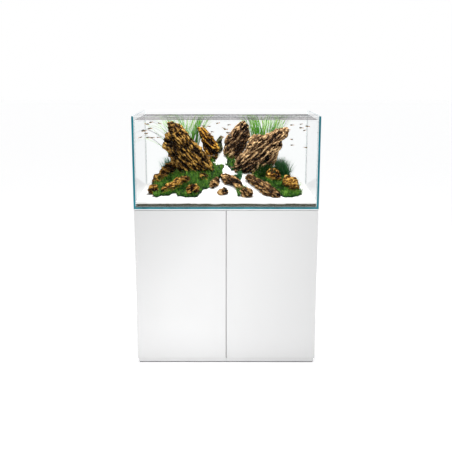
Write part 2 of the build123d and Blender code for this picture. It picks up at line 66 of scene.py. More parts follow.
# ------------------------------------------------------------------------------- shader graphs
class Signal:
    """One output of a shader node. Arithmetic on it adds the Math nodes that work it out."""

    def __init__(self, graph: "Graph", socket: bpy.types.NodeSocket) -> None:
        """Keep the graph and the socket."""
        self.graph = graph
        self.socket = socket

    def math(self, operation: str, *others: "Signal | float") -> "Signal":
        """Add a Math node whose first value is this one."""
        return self.graph.node("ShaderNodeMath", {"operation": operation},
                               dict(enumerate((self, *others))))

    def __add__(self, other: "Signal | float") -> "Signal":
        """Sum."""
        return self.math("ADD", other)

    def __sub__(self, other: "Signal | float") -> "Signal":
        """Difference."""
        return self.math("SUBTRACT", other)

    def __rsub__(self, other: float) -> "Signal":
        """Difference from a number."""
        return self.math("MULTIPLY", -1.0).math("ADD", other)

    def __mul__(self, other: "Signal | float") -> "Signal":
        """Product."""
        return self.math("MULTIPLY", other)

    def __gt__(self, other: "Signal | float") -> "Signal":
        """1 where this value is the larger, otherwise 0."""
        return self.math("GREATER_THAN", other)

    def __pow__(self, power: float) -> "Signal":
        """Power."""
        return self.math("POWER", power)

    def __abs__(self) -> "Signal":
        """Size without sign."""
        return self.math("ABSOLUTE")

    def span(self, low: float, high: float, start: float = 0.0, end: float = 1.0) -> "Signal":
        """Carry the range low to high over to start to end, and hold it there.

        Args:
            low: value that becomes start.
            high: value that becomes end.
            start: result at low.
            end: result at high.

        Returns:
            The carried value.
        """
        return self.graph.node("ShaderNodeMapRange", {"clamp": True},
                               {0: self, 1: low, 2: high, 3: start, 4: end})


class Graph:
    """The node tree of one new material."""

    def __init__(self, name: str) -> None:
        """Make the material with an empty tree."""
        self.material = bpy.data.materials.new(name)
        self.material.use_nodes = True
        self.tree = self.material.node_tree
        self.tree.nodes.clear()

    def node(self, kind: str, settings: dict | None = None, inputs: dict | None = None,
             output: int | str = 0) -> Signal:
        """Add a node.

        Args:
            kind: Blender's type name of the node.
            settings: the node's own settings; "stops" holds a ramp's places and colours.
            inputs: socket name or number, with a signal to link or a value to set.
            output: the output that is wanted.

        Returns:
            That output.
        """
        made = self.tree.nodes.new(kind)
        for key, value in (settings or {}).items():
            if key == "stops":
                self._set_stops(made.color_ramp, value)
            else:
                setattr(made, key, value)
        for key, value in (inputs or {}).items():
            if isinstance(value, Signal):
                self.tree.links.new(value.socket, made.inputs[key])
            elif isinstance(value, tuple) and len(value) == 3 and made.inputs[key].type == "RGBA":
                made.inputs[key].default_value = (*value, 1.0)
            else:
                made.inputs[key].default_value = value
        return Signal(self, made.outputs[output])

    @staticmethod
    def _set_stops(ramp: bpy.types.ColorRamp, stops: Sequence[tuple[float, Colour]]) -> None:
        """Give a ramp these stops and no others."""
        while len(ramp.elements) > 1:
            ramp.elements.remove(ramp.elements[-1])
        ramp.elements[0].position = stops[0][0]
        ramp.elements[0].color = (*stops[0][1], 1.0)
        for place, colour in stops[1:]:
            ramp.elements.new(place).color = (*colour, 1.0)

    def place(self) -> Signal:
        """Object coordinates, in metres."""
        return self.node("ShaderNodeTexCoord", output="Object")

    def facing(self, axis: str) -> Signal:
        """How far the surface faces along an axis, either way: 1 where it is square to it."""
        normal = self.node("ShaderNodeTexCoord", output="Normal")
        return abs(self.node("ShaderNodeSeparateXYZ", None, {0: normal}, axis))

    def outside(self) -> Signal:
        """1 where the ray meets the surface from its outer side, otherwise 0."""
        return 1.0 - self.node("ShaderNodeNewGeometry", output="Backfacing")

    def value(self, name: str) -> Signal:
        """A value that the mesh holds at each point."""
        return self.node("ShaderNodeAttribute", {"attribute_name": name}, output="Fac")

    def stretched(self, scale: tuple[float, float, float],
                  turn: tuple[float, float, float] = (0, 0, 0)) -> Signal:
        """Object coordinates, first turned and then scaled, so that streaks follow the turn."""
        turned = self.node("ShaderNodeMapping", None, {"Vector": self.place(), "Rotation": turn})
        return self.node("ShaderNodeMapping", None, {"Vector": turned, "Scale": scale})

    def noise(self, scale: float, detail: float = 3.0, rough: float = 0.5,
              at: Signal | None = None) -> Signal:
        """Cloud noise from 0 to 1.

        Args:
            scale: cells to a metre.
            detail: octaves.
            rough: share that each octave adds.
            at: coordinates; the object's own if None.

        Returns:
            The noise.
        """
        return self.node("ShaderNodeTexNoise", None,
                         {"Vector": at or self.place(), "Scale": scale, "Detail": detail,
                          "Roughness": rough})

    def cells(self, scale: float) -> Signal:
        """Distance to the nearest of scattered points."""
        return self.node("ShaderNodeTexVoronoi", None, {"Vector": self.place(), "Scale": scale})

    def ramp(self, value: Signal, stops: Sequence[tuple[float, Colour]]) -> Signal:
        """Colour from a value."""
        return self.node("ShaderNodeValToRGB", {"stops": stops}, {0: value})

    def mix(self, a: "Signal | Colour", b: "Signal | Colour", share: "Signal | float") -> Signal:
        """Mix two colours."""
        return self.node("ShaderNodeMix", {"data_type": "RGBA"}, {0: share, 6: a, 7: b}, 2)

    def bump(self, height: Signal, distance: float) -> Signal:
        """Normals tilted by a height in units of distance metres."""
        return self.node("ShaderNodeBump", None, {"Height": height, "Distance": distance, "Strength": 1.0})

    def principled(self, **inputs: "Signal | float | Colour") -> Signal:
        """A Principled shader; an input's underscores stand for spaces."""
        named = {key.replace("_", " "): value for key, value in inputs.items()}
        return self.node("ShaderNodeBsdfPrincipled", None, named)

    def between(self, a: Signal, b: Signal, share: "Signal | float") -> Signal:
        """Mix two shaders."""
        return self.node("ShaderNodeMixShader", None, {0: share, 1: a, 2: b})

    def finished(self, shader: Signal) -> bpy.types.Material:
        """Put the shader on the material's surface, and return the material."""
        output = self.tree.nodes.new("ShaderNodeOutputMaterial")
        self.tree.links.new(shader.socket, output.inputs["Surface"])
        return self.material


# ------------------------------------------------------------------------------------ finishes
@dataclass(frozen=True)
class Lacquer:
    """Sprayed gloss lacquer with the faint ripple that a spray leaves."""

    name: str = "white_lacquer"
    colour: Colour = (0.66, 0.66, 0.66)
    roughness: float = 0.16

    def material(self) -> bpy.types.Material:
        """Gloss under a clear coat, a shade warmer and cooler in broad clouds."""
        g = Graph(self.name)
        cloud = g.noise(3.0, 2.0)
        ripple = g.noise(160.0, 2.0)
        dust = g.noise(900.0, 2.0)
        tone = g.mix(self.colour, tuple(c * 0.985 for c in self.colour), cloud)
        return g.finished(g.principled(
            Base_Color=tone, Roughness=dust.span(0.3, 0.7, self.roughness - 0.03, self.roughness + 0.03),
            Coat_Weight=0.6, Coat_Roughness=0.05, Normal=g.bump(ripple, 0.00004)))


@dataclass(frozen=True)
class FacedBoard:
    """White melamine-faced board with a fine pressed grain."""

    name: str = "white_board"
    colour: Colour = (0.8, 0.8, 0.8)

    def material(self) -> bpy.types.Material:
        """Satin face, pressed with fine pores."""
        g = Graph(self.name)
        pores = g.noise(1400.0, 2.0)
        cloud = g.noise(6.0, 2.0)
        tone = g.mix(self.colour, tuple(c * 0.965 for c in self.colour), cloud)
        return g.finished(g.principled(
            Base_Color=tone, Roughness=pores.span(0.3, 0.7, 0.34, 0.46),
            Normal=g.bump(pores, 0.00006)))


@dataclass(frozen=True)
class PlatedSteel:
    """Pressed and plated steel, brushed by handling."""

    name: str = "hinge_steel"
    colour: Colour = (0.62, 0.62, 0.63)

    def material(self) -> bpy.types.Material:
        """Bright metal, dulled in streaks."""
        g = Graph(self.name)
        streaks = g.noise(60.0, 4.0, at=g.stretched((1, 1, 24)))
        stain = g.noise(90.0, 3.0)
        tone = g.mix(self.colour, tuple(c * 0.8 for c in self.colour), stain.span(0.45, 0.75))
        return g.finished(g.principled(
            Base_Color=tone, Metallic=1.0, Roughness=streaks.span(0.3, 0.7, 0.22, 0.42),
            Normal=g.bump(streaks, 0.00003)))


@dataclass(frozen=True)
class MouldedPlastic:
    """Injection-moulded plastic with a spark-eroded grain."""

    name: str
    colour: Colour
    roughness: float = 0.45
    grain: float = 0.00008

    def material(self) -> bpy.types.Material:
        """Even colour with a fine raised grain, worn smoother in patches."""
        g = Graph(self.name)
        grain = g.noise(1800.0, 2.0)
        wear = g.noise(40.0, 3.0)
        tone = g.mix(self.colour, tuple(min(c * 1.15, 1.0) for c in self.colour), wear)
        return g.finished(g.principled(
            Base_Color=tone, Roughness=wear.span(0.3, 0.7, self.roughness - 0.08, self.roughness + 0.08),
            Normal=g.bump(grain, self.grain)))


@dataclass(frozen=True)
class FoamSheet:
    """White closed-cell foam sheet."""

    name: str = "foam"
    colour: Colour = (0.86, 0.87, 0.88)

    def material(self) -> bpy.types.Material:
        """Matt skin over small cells."""
        g = Graph(self.name)
        cells = g.cells(1100.0)
        tone = g.mix(self.colour, tuple(c * 0.9 for c in self.colour), cells.span(0.2, 0.8))
        return g.finished(g.principled(Base_Color=tone, Roughness=cells.span(0.0, 0.8, 0.7, 0.9),
                                       Normal=g.bump(cells, 0.0003)))


class PaneSide(Enum):
    """The axis that a pane's broad faces are square to."""

    END = "X"
    LONG = "Y"
    BOTTOM = "Z"


@dataclass(frozen=True)
class ClearGlass:
    """Clear float glass whose polished edges gather the blue-green of the glass."""

    side: PaneSide
    edge: Colour = (0.012, 0.15, 0.19)
    # The pale top-edge colour is a painted highlight, and the dark line beside it on the end panes is
    # painted shade.
    painted_highlight_top_edge: Colour = (0.72, 0.76, 0.77)
    painted_shade_edge_line: Colour = (0.03, 0.06, 0.07)
    painted_highlight_half_width: float = 0.0014
    bottom_edge: Colour = (0.03, 0.15, 0.18)
    tint: Colour = (0.994, 0.998, 0.997)
    # The end panes' darker see-through colour is painted shade: the same glass as the long panes, dimmed.
    end_painted_shade_tint: Colour = (0.955, 0.96, 0.962)
    ior: float = 1.12
    rim_ior: float = 1.2

    @staticmethod
    def middle() -> float:
        """Distance of the middle of an end pane's thickness from the middle of the tank."""
        low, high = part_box("tank_right_glass")
        return (low.x + high.x) / 2

    def material(self) -> bpy.types.Material:
        """See-through with mirrored light on the faces, blue-green on the upright edges, and a pale
        painted highlight on the top edges, where the end panes have a dark line of painted shade along each
        side."""
        g = Graph(f"clear_glass_{self.side.name.lower()}")
        broad = g.facing(self.side.value) > SQUARE_ON
        up = g.facing("Z") > SQUARE_ON
        streak = g.noise(30.0, 3.0, at=g.stretched((1, 1, 0.15)))
        deep = self.bottom_edge if self.side is PaneSide.BOTTOM else self.edge
        edge = g.mix(deep, tuple(c * 1.6 for c in deep), streak.span(0.35, 0.7))
        # Painted highlight on the top edges; on the end panes, lines of painted shade along each side of
        # it.
        if self.side is PaneSide.END:
            across = g.node("ShaderNodeSeparateXYZ", None, {0: g.place()}, self.side.value)
            lines = abs(abs(across) - self.middle()) > self.painted_highlight_half_width
            edge = g.mix(edge, g.mix(self.painted_highlight_top_edge, self.painted_shade_edge_line, lines), up)
        elif self.side is not PaneSide.BOTTOM:
            edge = g.mix(edge, self.painted_highlight_top_edge, up)
        rim = g.principled(Base_Color=edge, Roughness=streak.span(0.3, 0.7, 0.25, 0.4), IOR=self.rim_ior)
        # The end panes see through in the darker tint of painted shade.
        tint = self.end_painted_shade_tint if self.side is PaneSide.END else self.tint
        through = g.node("ShaderNodeBsdfTransparent", None, {"Color": tint})
        mirror = g.node("ShaderNodeBsdfGlossy", None, {"Color": (1.0, 1.0, 1.0), "Roughness": 0.0})
        outside = g.outside()
        glance = g.node("ShaderNodeFresnel", None, {"IOR": self.ior}) * outside
        face = g.between(through, mirror, glance * broad)
        return g.finished(g.between(face, rim, (1.0 - broad) * outside))


@dataclass(frozen=True)
class Sealant:
    """Clear silicone, slightly milky."""

    name: str = "silicone"

    def material(self) -> bpy.types.Material:
        """Half see-through with a soft gloss."""
        g = Graph(self.name)
        lumps = g.noise(120.0, 2.0)
        skin = g.principled(Base_Color=(0.86, 0.9, 0.9), Roughness=lumps.span(0.3, 0.7, 0.2, 0.35),
                            Normal=g.bump(lumps, 0.0002))
        through = g.node("ShaderNodeBsdfTransparent", None, {"Color": (0.97, 0.99, 0.99)})
        return g.finished(g.between(through, skin, lumps.span(0.2, 0.8, 0.12, 0.22)))


@dataclass(frozen=True)
class ClearWater:
    """Still, clear water. Only its surface is seen."""

    name: str = "clear_water"
    # The dark and pale tints are painted reflections of the room, its lights and the plants.
    dark: Colour = (0.13, 0.12, 0.135)
    pale: Colour = (0.62, 0.57, 0.58)
    ior: float = 1.6
    spread: float = 0.9

    def material(self) -> bpy.types.Material:
        """Mirrors at a glance from above, in drifts of painted reflection, darker and paler, and lets
        everything through at the glass. The mirrored share is Fresnel's to the power spread."""
        g = Graph(self.name)
        top = g.value("top") * g.facing("Z") > 0.5
        swell = g.bump(g.noise(14.0, 3.0, at=g.stretched((1.0, 1.6, 1.0))), 0.004)
        # Painted reflection: the mirror's tint drifts between the dark and the pale tone.
        drift = g.noise(5.0, 4.0, 0.55, g.stretched((0.8, 0.8, 1.0)))
        dark, pale = (
            g.node("ShaderNodeBsdfGlossy", None, {"Color": shade, "Roughness": 0.04, "Normal": swell})
            for shade in (self.dark, self.pale))
        clear = g.node("ShaderNodeBsdfTransparent", None, {"Color": (1.0, 1.0, 1.0)})
        glance = g.node("ShaderNodeFresnel", None, {"IOR": self.ior})
        mirror = g.between(dark, pale, drift.span(0.42, 0.62))
        return g.finished(g.between(clear, mirror, glance ** self.spread * g.outside() * top))


@dataclass(frozen=True)
class Gravel:
    """Loose grains of one mineral."""

    name: str
    dark: Colour
    light: Colour
    grains: float
    relief: float

    def material(self) -> bpy.types.Material:
        """Each grain its own shade and its own slope, over broad drifts of tone."""
        g = Graph(self.name)
        grain = g.cells(self.grains)
        drift = g.noise(18.0, 3.0)
        speck = g.noise(self.grains * 0.7, 2.0)
        tone = g.mix(self.dark, self.light, speck.span(0.32, 0.68))
        tone = g.mix(tone, self.dark, drift.span(0.5, 0.9, 0.0, 0.35))
        return g.finished(g.principled(Base_Color=tone, Roughness=speck.span(0.3, 0.7, 0.75, 0.95),
                                       Normal=g.bump(grain, self.relief)))


@dataclass(frozen=True)
class LayeredStone:
    """Pitted clay stone in layers: near-black hollows of painted shade, brown faces, and paler
    ridges and tips, partly painted highlight.

    Its tone is a weighted sum of the mesh's relief and of finer layers, flecks and cracks, less
    an even darkening. The layers lean by an angle from level, seen from the doors' side.
    """

    name: str
    # The hollow colour is painted shade for the pits and cracks.
    painted_shade_hollow: Colour
    face: Colour
    ridge: Colour
    tip: Colour
    lean: float
    relief_share: float = 0.54
    layer_share: float = 0.54
    fleck_share: float = 0.36
    crack_share: float = 0.22
    darkening: float = 0.4

    def material(self) -> bpy.types.Material:
        """Colour follows the mesh's own relief, with painted shade in the pits and a partly painted
        highlight on the crests, and is broken up along the layers.
        """
        g = Graph(self.name)
        relief = g.value("relief")
        along = g.stretched((0.28, 0.85, 1.8), (0.0, self.lean, 0.0))
        layer = g.noise(76.0, 5.0, 0.67, along)
        crack = abs(g.noise(84.0, 3.0, 0.6, along) - 0.5).span(0.0, 0.08)
        fleck = g.noise(170.0, 3.0, 0.65)
        rust = g.noise(14.0, 3.0)
        height = (relief * self.relief_share + layer.span(0.35, 0.65) * self.layer_share
                  + fleck.span(0.36, 0.64) * self.fleck_share + crack * self.crack_share
                  - self.darkening)
        # Painted shade and highlight: the lowest values, in pits and cracks, take the near-black hollow
        # colour, and the highest take the pale tip.
        tone = g.ramp(height, ((0.39, self.painted_shade_hollow), (0.48, tuple(c * 0.5 for c in self.face)),
                               (0.57, self.face), (0.68, self.ridge), (0.83, self.tip)))
        tone = g.mix(tone, tuple(0.6 * c for c in self.face), rust.span(0.48, 0.75, 0.0, 0.5))
        return g.finished(g.principled(
            Base_Color=tone, Roughness=fleck.span(0.3, 0.7, 0.6, 0.85), IOR=WET_INDEX,
            Normal=g.bump(layer + fleck * 0.5 + crack * 0.4, 0.005)))


@dataclass(frozen=True)
class Leaf:
    """Water-plant leaves: darker at the foot, paler at the tip, and no two quite alike."""

    name: str
    foot: Colour
    middle: Colour
    tip: Colour

    def material(self) -> bpy.types.Material:
        """Colour runs along each leaf, and shifts from leaf to leaf."""
        g = Graph(self.name)
        along = g.value("along")
        own = g.value("tone")
        vein = g.noise(500.0, 2.0)
        tone = g.ramp(along + own * 0.6 - 0.3, ((0.0, self.foot), (0.5, self.middle), (1.0, self.tip)))
        tone = g.mix(tone, tuple(c * 0.55 for c in self.middle), vein.span(0.5, 0.8, 0.0, 0.5))
        return g.finished(g.principled(Base_Color=tone, Roughness=vein.span(0.3, 0.7, 0.35, 0.55),
                                       IOR=WET_INDEX, Normal=g.bump(vein, 0.0002)))


@dataclass(frozen=True)
class FishSkin:
    """A small shoaling fish: dark back and side stripe over a pale belly, with amber fins."""

    name: str = "fish_skin"

    def material(self) -> bpy.types.Material:
        """Colour runs from belly to back, with scales as a fine bump."""
        g = Graph(self.name)
        height = g.value("height")
        scales = g.cells(1600.0)
        tone = g.ramp(height, ((0.08, (0.42, 0.27, 0.1)), (0.36, (0.3, 0.19, 0.08)),
                               (0.5, (0.04, 0.028, 0.02)), (0.75, (0.03, 0.028, 0.024))))
        tone = g.mix(tone, (0.7, 0.24, 0.06), g.value("fin") * 0.7)
        return g.finished(g.principled(Base_Color=tone, Roughness=scales.span(0.0, 0.6, 0.22, 0.4),
                                       Normal=g.bump(scales, 0.0002)))


@dataclass(frozen=True)
class PaleFloor:
    """Plain pale studio floor."""

    name: str = "studio_floor"
    colour: Colour = (0.95, 0.95, 0.95)
    glow: float = 0.42

    def material(self) -> bpy.types.Material:
        """Near-white and matt, with a glow that keeps it as pale as the room."""
        g = Graph(self.name)
        speck = g.noise(40.0, 2.0)
        return g.finished(g.principled(
            Base_Color=self.colour, Roughness=speck.span(0.3, 0.7, 0.6, 0.7),
            Emission_Color=(1.0, 1.0, 1.0), Emission_Strength=self.glow))


# ----------------------------------------------------------------------------- numeric surfaces
def lattice_value(cells: np.ndarray, seed: int) -> np.ndarray:
    """A repeatable number from 0 to 1 for each whole-number cell.

    Args:
        cells: whole numbers, the last axis holding x, y and z.
        seed: which set of numbers.

    Returns:
        One value for each cell, from mixing the bits of its coordinates.
    """
    c = cells.astype(np.int64)
    mixed = c[..., 0] * 374761393 + c[..., 1] * 668265263 + c[..., 2] * 2147483647 + seed * 974634777
    mixed = (mixed ^ (mixed >> 13)) * 1274126177
    mixed = mixed ^ (mixed >> 16)
    return (mixed & 0xFFFFFF) / float(0xFFFFFF)


def smooth_noise(at: np.ndarray, seed: int) -> np.ndarray:
    """Value noise: the lattice's numbers, eased between the eight corners of a cell.

    Args:
        at: points in units of a cell.
        seed: which lattice.

    Returns:
        Noise from 0 to 1.
    """
    low = np.floor(at)
    part = at - low
    part = part * part * (3 - 2 * part)
    total = np.zeros(at.shape[:-1])
    for corner in np.ndindex(2, 2, 2):
        weight = np.prod(np.where(corner, part, 1 - part), axis=-1)
        total += weight * lattice_value(low + corner, seed)
    return total


def fractal(at: np.ndarray, seed: int, octaves: int = 4) -> np.ndarray:
    """Noise summed over octaves, each twice as fine and half as strong."""
    total = np.zeros(at.shape[:-1])
    for k in range(octaves):
        total += smooth_noise(at * 2 ** k + 17.3 * k, seed + k) / 2 ** k
    return total / (2 - 0.5 ** (octaves - 1))


def ridged(at: np.ndarray, seed: int, octaves: int = 4) -> np.ndarray:
    """Sharp crests: one minus the distance of each octave from its middle value."""
    total = np.zeros(at.shape[:-1])
    for k in range(octaves):
        total += (1 - abs(2 * smooth_noise(at * 2 ** k + 9.7 * k, seed + k) - 1)) / 2 ** k
    return total / (2 - 0.5 ** (octaves - 1))


def nearest_seed(at: np.ndarray, seed: int) -> np.ndarray:
    """Distance to the nearest of one random point in each cell, for pits and lumps.

    Args:
        at: points in units of a cell.
        seed: which set of random points.

    Returns:
        The distance, in cells.
    """
    low = np.floor(at)
    best = np.full(at.shape[:-1], 9.0)
    for step in np.ndindex(3, 3, 3):
        cell = low + (np.array(step) - 1)
        centre = cell + np.stack([lattice_value(cell, seed + 31 * k) for k in range(3)], -1)
        best = np.minimum(best, np.linalg.norm(at - centre, axis=-1))
    return best


@dataclass
class Surface:
    """Points with their faces and the values that the points hold."""

    points: np.ndarray
    quads: np.ndarray
    tris: np.ndarray = field(default_factory=lambda: np.zeros((0, 3), int))
    values: dict[str, np.ndarray] = field(default_factory=dict)
    crease: float = 55.0

    def outward(self) -> "Surface":
        """Turn every face over if the closed surface's signed volume is negative."""
        p, q, t = self.points, self.quads, self.tris
        corners = np.concatenate([q[:, [0, 1, 2]], q[:, [0, 2, 3]], t])
        a, b, c = p[corners[:, 0]], p[corners[:, 1]], p[corners[:, 2]]
        if np.einsum("ij,ij->", a - p.mean(0), np.cross(b - p.mean(0), c - p.mean(0))) < 0:
            self.quads, self.tris = q[:, ::-1], t[:, ::-1]
        return self

    @staticmethod
    def joined(parts: Sequence["Surface"]) -> "Surface":
        """Put several surfaces into one, their values with them."""
        starts = np.cumsum([0] + [len(s.points) for s in parts[:-1]])
        return Surface(
            np.concatenate([s.points for s in parts]),
            np.concatenate([s.quads + k for s, k in zip(parts, starts)]),
            np.concatenate([s.tris + k for s, k in zip(parts, starts)]),
            {key: np.concatenate([s.values[key] for s in parts]) for key in parts[0].values})

    def piece(self, name: str, material: bpy.types.Material, slot: str,
              stands_for: Sequence[str] = ()) -> bpy.types.Object:
        """Make the mesh object, creased where it turns sharply, and have it ride on the cabinet.

        Args:
            name: the piece's name.
            material: its finish.
            slot: the material slot's name; not used.
            stands_for: the frame's nodes that it replaces.

        Returns:
            The object.
        """
        mesh = bpy.data.meshes.new(name)
        mesh.vertices.add(len(self.points))
        mesh.vertices.foreach_set("co", self.points.astype(np.float32).ravel())
        mesh.loops.add(self.quads.size + self.tris.size)
        corners = np.concatenate([self.quads.ravel(), self.tris.ravel()]).astype(np.int32)
        mesh.loops.foreach_set("vertex_index", corners)
        mesh.polygons.add(len(self.quads) + len(self.tris))
        starts = np.concatenate([np.arange(len(self.quads)) * 4,
                                 self.quads.size + np.arange(len(self.tris)) * 3])
        mesh.polygons.foreach_set("loop_start", starts.astype(np.int32))
        mesh.update(calc_edges=True)
        mesh.polygons.foreach_set("use_smooth", np.full(len(mesh.polygons), True))
        mesh.set_sharp_from_angle(angle=math.radians(self.crease))
        for key, held in self.values.items():
            mesh.attributes.new(key, "FLOAT", "POINT").data.foreach_set("value", held.astype(np.float32))
        mesh.materials.append(material)
        made = bpy.data.objects.new(name, mesh)
        bpy.context.scene.collection.objects.link(made)
        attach(made, CABINET)
        if stands_for:
            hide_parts(*stands_for)
        LOG.info("%s: %d points", name, len(self.points))
        return made


def grid_faces(rows: int, columns: int, closed: bool) -> np.ndarray:
    """Four corners of each cell in a grid of points.

    Args:
        rows: points one way.
        columns: points the other way.
        closed: whether the last column joins the first.

    Returns:
        The faces.
    """
    across = columns if closed else columns - 1
    r, c = np.meshgrid(np.arange(rows - 1), np.arange(across), indexing="ij")
    after = (c + 1) % columns
    return np.stack([r * columns + c, r * columns + after, (r + 1) * columns + after,
                     (r + 1) * columns + c], -1).reshape(-1, 4)


def capped(rings: np.ndarray, values: dict[str, np.ndarray] | None = None) -> Surface:
    """A closed skin over rings of points, with a fan to the middle of each end.

    Args:
        rings: points by ring and by place round it.
        values: a number for each of those points.

    Returns:
        The surface, facing outwards.
    """
    count, around = rings.shape[:2]
    ends = [rings[0].mean(0), rings[-1].mean(0)]
    points = np.concatenate([rings.reshape(-1, 3), ends])
    k = np.arange(around)
    after = (k + 1) % around
    last = (count - 1) * around
    first_fan = np.stack([after, k, np.full(around, count * around)], -1)
    last_fan = np.stack([last + k, last + after, np.full(around, count * around + 1)], -1)
    held = {key: np.concatenate([v.ravel(), [v[0].mean(), v[-1].mean()]])
            for key, v in (values or {}).items()}
    return Surface(points, grid_faces(count, around, True), np.concatenate([first_fan, last_fan]),
                   held).outward()


def slab(top: np.ndarray, bottom: np.ndarray) -> Surface:
    """A closed sheet between two grids of points of one size, with walls round the outside."""
    rows, columns = top.shape[:2]
    faces = grid_faces(rows, columns, False)
    index = np.arange(rows * columns).reshape(rows, columns)
    border = np.concatenate([index[0, :-1], index[:-1, -1], index[-1, :0:-1], index[:0:-1, 0]])
    after = np.roll(border, -1)
    below = rows * columns
    walls = np.stack([border, border + below, after + below, after], -1)
    points = np.concatenate([top.reshape(-1, 3), bottom.reshape(-1, 3)])
    quads = np.concatenate([faces, faces[:, ::-1] + below, walls])
    return Surface(points, quads).outward()


def round_outline(corners: Sequence[tuple[float, float]], count: int, ease: int) -> np.ndarray:
    """Evenly spaced points along a closed outline, with its corners eased by a running mean.

    Args:
        corners: the outline's corners.
        count: how many points to give back.
        ease: half the width of the running mean, in points.

    Returns:
        The points, one row each.
    """
    loop = np.array([*corners, corners[0]], float)
    walked = np.concatenate([[0], np.cumsum(np.linalg.norm(np.diff(loop, axis=0), axis=1))])
    at = np.linspace(0, walked[-1], count, endpoint=False)
    points = np.stack([np.interp(at, walked, loop[:, k]) for k in (0, 1)], -1)
    return sum(np.roll(points, k, axis=0) for k in range(-ease, ease + 1)) / (2 * ease + 1)


def grid_normals(rings: np.ndarray) -> np.ndarray:
    """Unit normals of a grid of points whose rings are closed, from its two slopes."""
    around = np.roll(rings, -1, axis=1) - np.roll(rings, 1, axis=1)
    along = np.gradient(rings, axis=0)
    normal = np.cross(around, along)
    normal /= np.maximum(np.linalg.norm(normal, axis=-1, keepdims=True), 1e-12)
    outward = rings - rings.mean((0, 1))
    return normal * np.sign(np.einsum("ijk,ijk->", normal, outward))


def inside(corners: Sequence[tuple[float, float]], x: np.ndarray, y: np.ndarray) -> np.ndarray:
    """Whether points lie in a polygon, by the count of edges to their right."""
    hit = np.zeros(x.shape, bool)
    for (ax, ay), (bx, by) in zip(corners, [*corners[1:], corners[0]]):
        if ay != by:
            crosses = (ay > y) != (by > y)
            hit ^= crosses & (x < ax + (y - ay) * (bx - ax) / (by - ay))
    return hit


# --------------------------------------------------------------------------------- the tank
@dataclass
class TankSpace:
    """The room inside the glass, read from the frame."""

    waterline_drop: float = 0.019
    sand_depth: float = 0.022
    left: float = field(init=False)
    right: float = field(init=False)
    front: float = field(init=False)
    back: float = field(init=False)
    floor: float = field(init=False)
    water: float = field(init=False)

    def __post_init__(self) -> None:
        """Read the panes' inner faces."""
        self.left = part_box("tank_left_glass")[1].x
        self.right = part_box("tank_right_glass")[0].x
        self.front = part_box("tank_front_glass")[1].y
        self.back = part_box("tank_back_glass")[0].y
        self.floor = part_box("tank_bottom_glass")[1].z
        self.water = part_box("tank_left_glass")[1].z - self.waterline_drop


@dataclass
class Ground:
    """Soil under white sand, level at the front and the ends, climbing to the back between the
    rocks. Heights are above the sand's level at the front glass."""

    space: TankSpace
    across: tuple[float, ...] = (0.0, 0.2, 0.38, 0.44)
    along: tuple[float, ...] = (-0.215, -0.1, 0.06, 0.215)
    rise: tuple[tuple[float, ...], ...] = ((0.0, 0.006, 0.103, 0.258), (0.0, 0.008, 0.118, 0.143),
                                           (0.0, 0.002, 0.038, 0.058), (0.0, 0.0, 0.002, 0.004))
    step: float = 0.005
    ease: int = 5
    soil_depth: float = 0.0145
    gap: float = 0.0006
    table: np.ndarray = field(init=False)

    def __post_init__(self) -> None:
        """Fill a fine table of heights from the few given ones, then ease it both ways."""
        s = self.space
        xs = np.arange(s.left, s.right + self.step / 2, self.step)
        ys = np.arange(s.front, s.back + self.step / 2, self.step)
        rows = np.stack([np.interp(abs(xs), self.across, line) for line in zip(*self.rise)])
        table = np.stack([np.interp(ys, self.along, rows[:, i]) for i in range(len(xs))])
        kernel = np.ones(2 * self.ease + 1) / (2 * self.ease + 1)
        for axis in (0, 1, 0, 1):
            table = np.apply_along_axis(
                lambda line: np.convolve(np.pad(line, self.ease, "edge"), kernel, "valid"), axis, table)
        self.table = table

    def height(self, x: np.ndarray, y: np.ndarray) -> np.ndarray:
        """Height of the sand, by straight lines between the table's four nearest entries.

        Args:
            x: places across.
            y: places along.

        Returns:
            Heights in the frame.
        """
        s = self.space
        u = np.clip((x - s.left) / self.step, 0, self.table.shape[0] - 1.001)
        v = np.clip((y - s.front) / self.step, 0, self.table.shape[1] - 1.001)
        i, j = u.astype(int), v.astype(int)
        p, q, t = u - i, v - j, self.table
        rise = ((1 - p) * (1 - q) * t[i, j] + p * (1 - q) * t[i + 1, j]
                + (1 - p) * q * t[i, j + 1] + p * q * t[i + 1, j + 1])
        return s.floor + s.sand_depth + rise

    def soil_top(self, x: np.ndarray, y: np.ndarray) -> np.ndarray:
        """The soil's gently wavy surface: two slow waves across and cloud noise."""
        wave = np.sin(x * 23.0) + 0.7 * np.sin(x * 61.0 + 1.0)
        cloud = fractal(np.stack([x * 60, y * 60, x * 0], -1), 5) - 0.5
        return self.space.floor + self.soil_depth + 0.0006 * wave + 0.0035 * cloud

    def grid(self, nx: int, ny: int) -> tuple[np.ndarray, np.ndarray]:
        """Even grid of places over the tank's floor, a hair inside the glass."""
        s = self.space
        return np.meshgrid(np.linspace(s.left + self.gap, s.right - self.gap, nx),
                           np.linspace(s.front + self.gap, s.back - self.gap, ny), indexing="ij")

    def build(self) -> None:
        """Make the soil and the sand, each a closed slab between two height surfaces."""
        x, y = self.grid(440, 110)
        top = self.soil_top(x, y)
        grains = fractal(np.stack([x * 420, y * 420, x * 0], -1), 8, 2) - 0.5
        soil = slab(np.stack([x, y, top + 0.0012 * grains], -1),
                    np.stack([x, y, np.full_like(x, self.space.floor + 0.0002)], -1))
        soil_finish = Gravel("soil", (0.024, 0.024, 0.012), (0.12, 0.118, 0.075), 520.0, 0.0022)
        soil.piece("soil", soil_finish.material(), "soil", stands_for=("soil_layer",))
        drift = fractal(np.stack([x * 22, y * 30, x * 0], -1), 11, 4) - 0.5
        sand = slab(np.stack([x, y, self.height(x, y) + 0.004 * drift + 0.0005 * grains], -1),
                    np.stack([x, y, top + 0.0012 * grains], -1))
        sand_finish = Gravel("sand", (0.74, 0.72, 0.69), (0.93, 0.925, 0.91), 1500.0, 0.0006)
        sand.piece("sand", sand_finish.material(), "sand", stands_for=("sand_bed",))


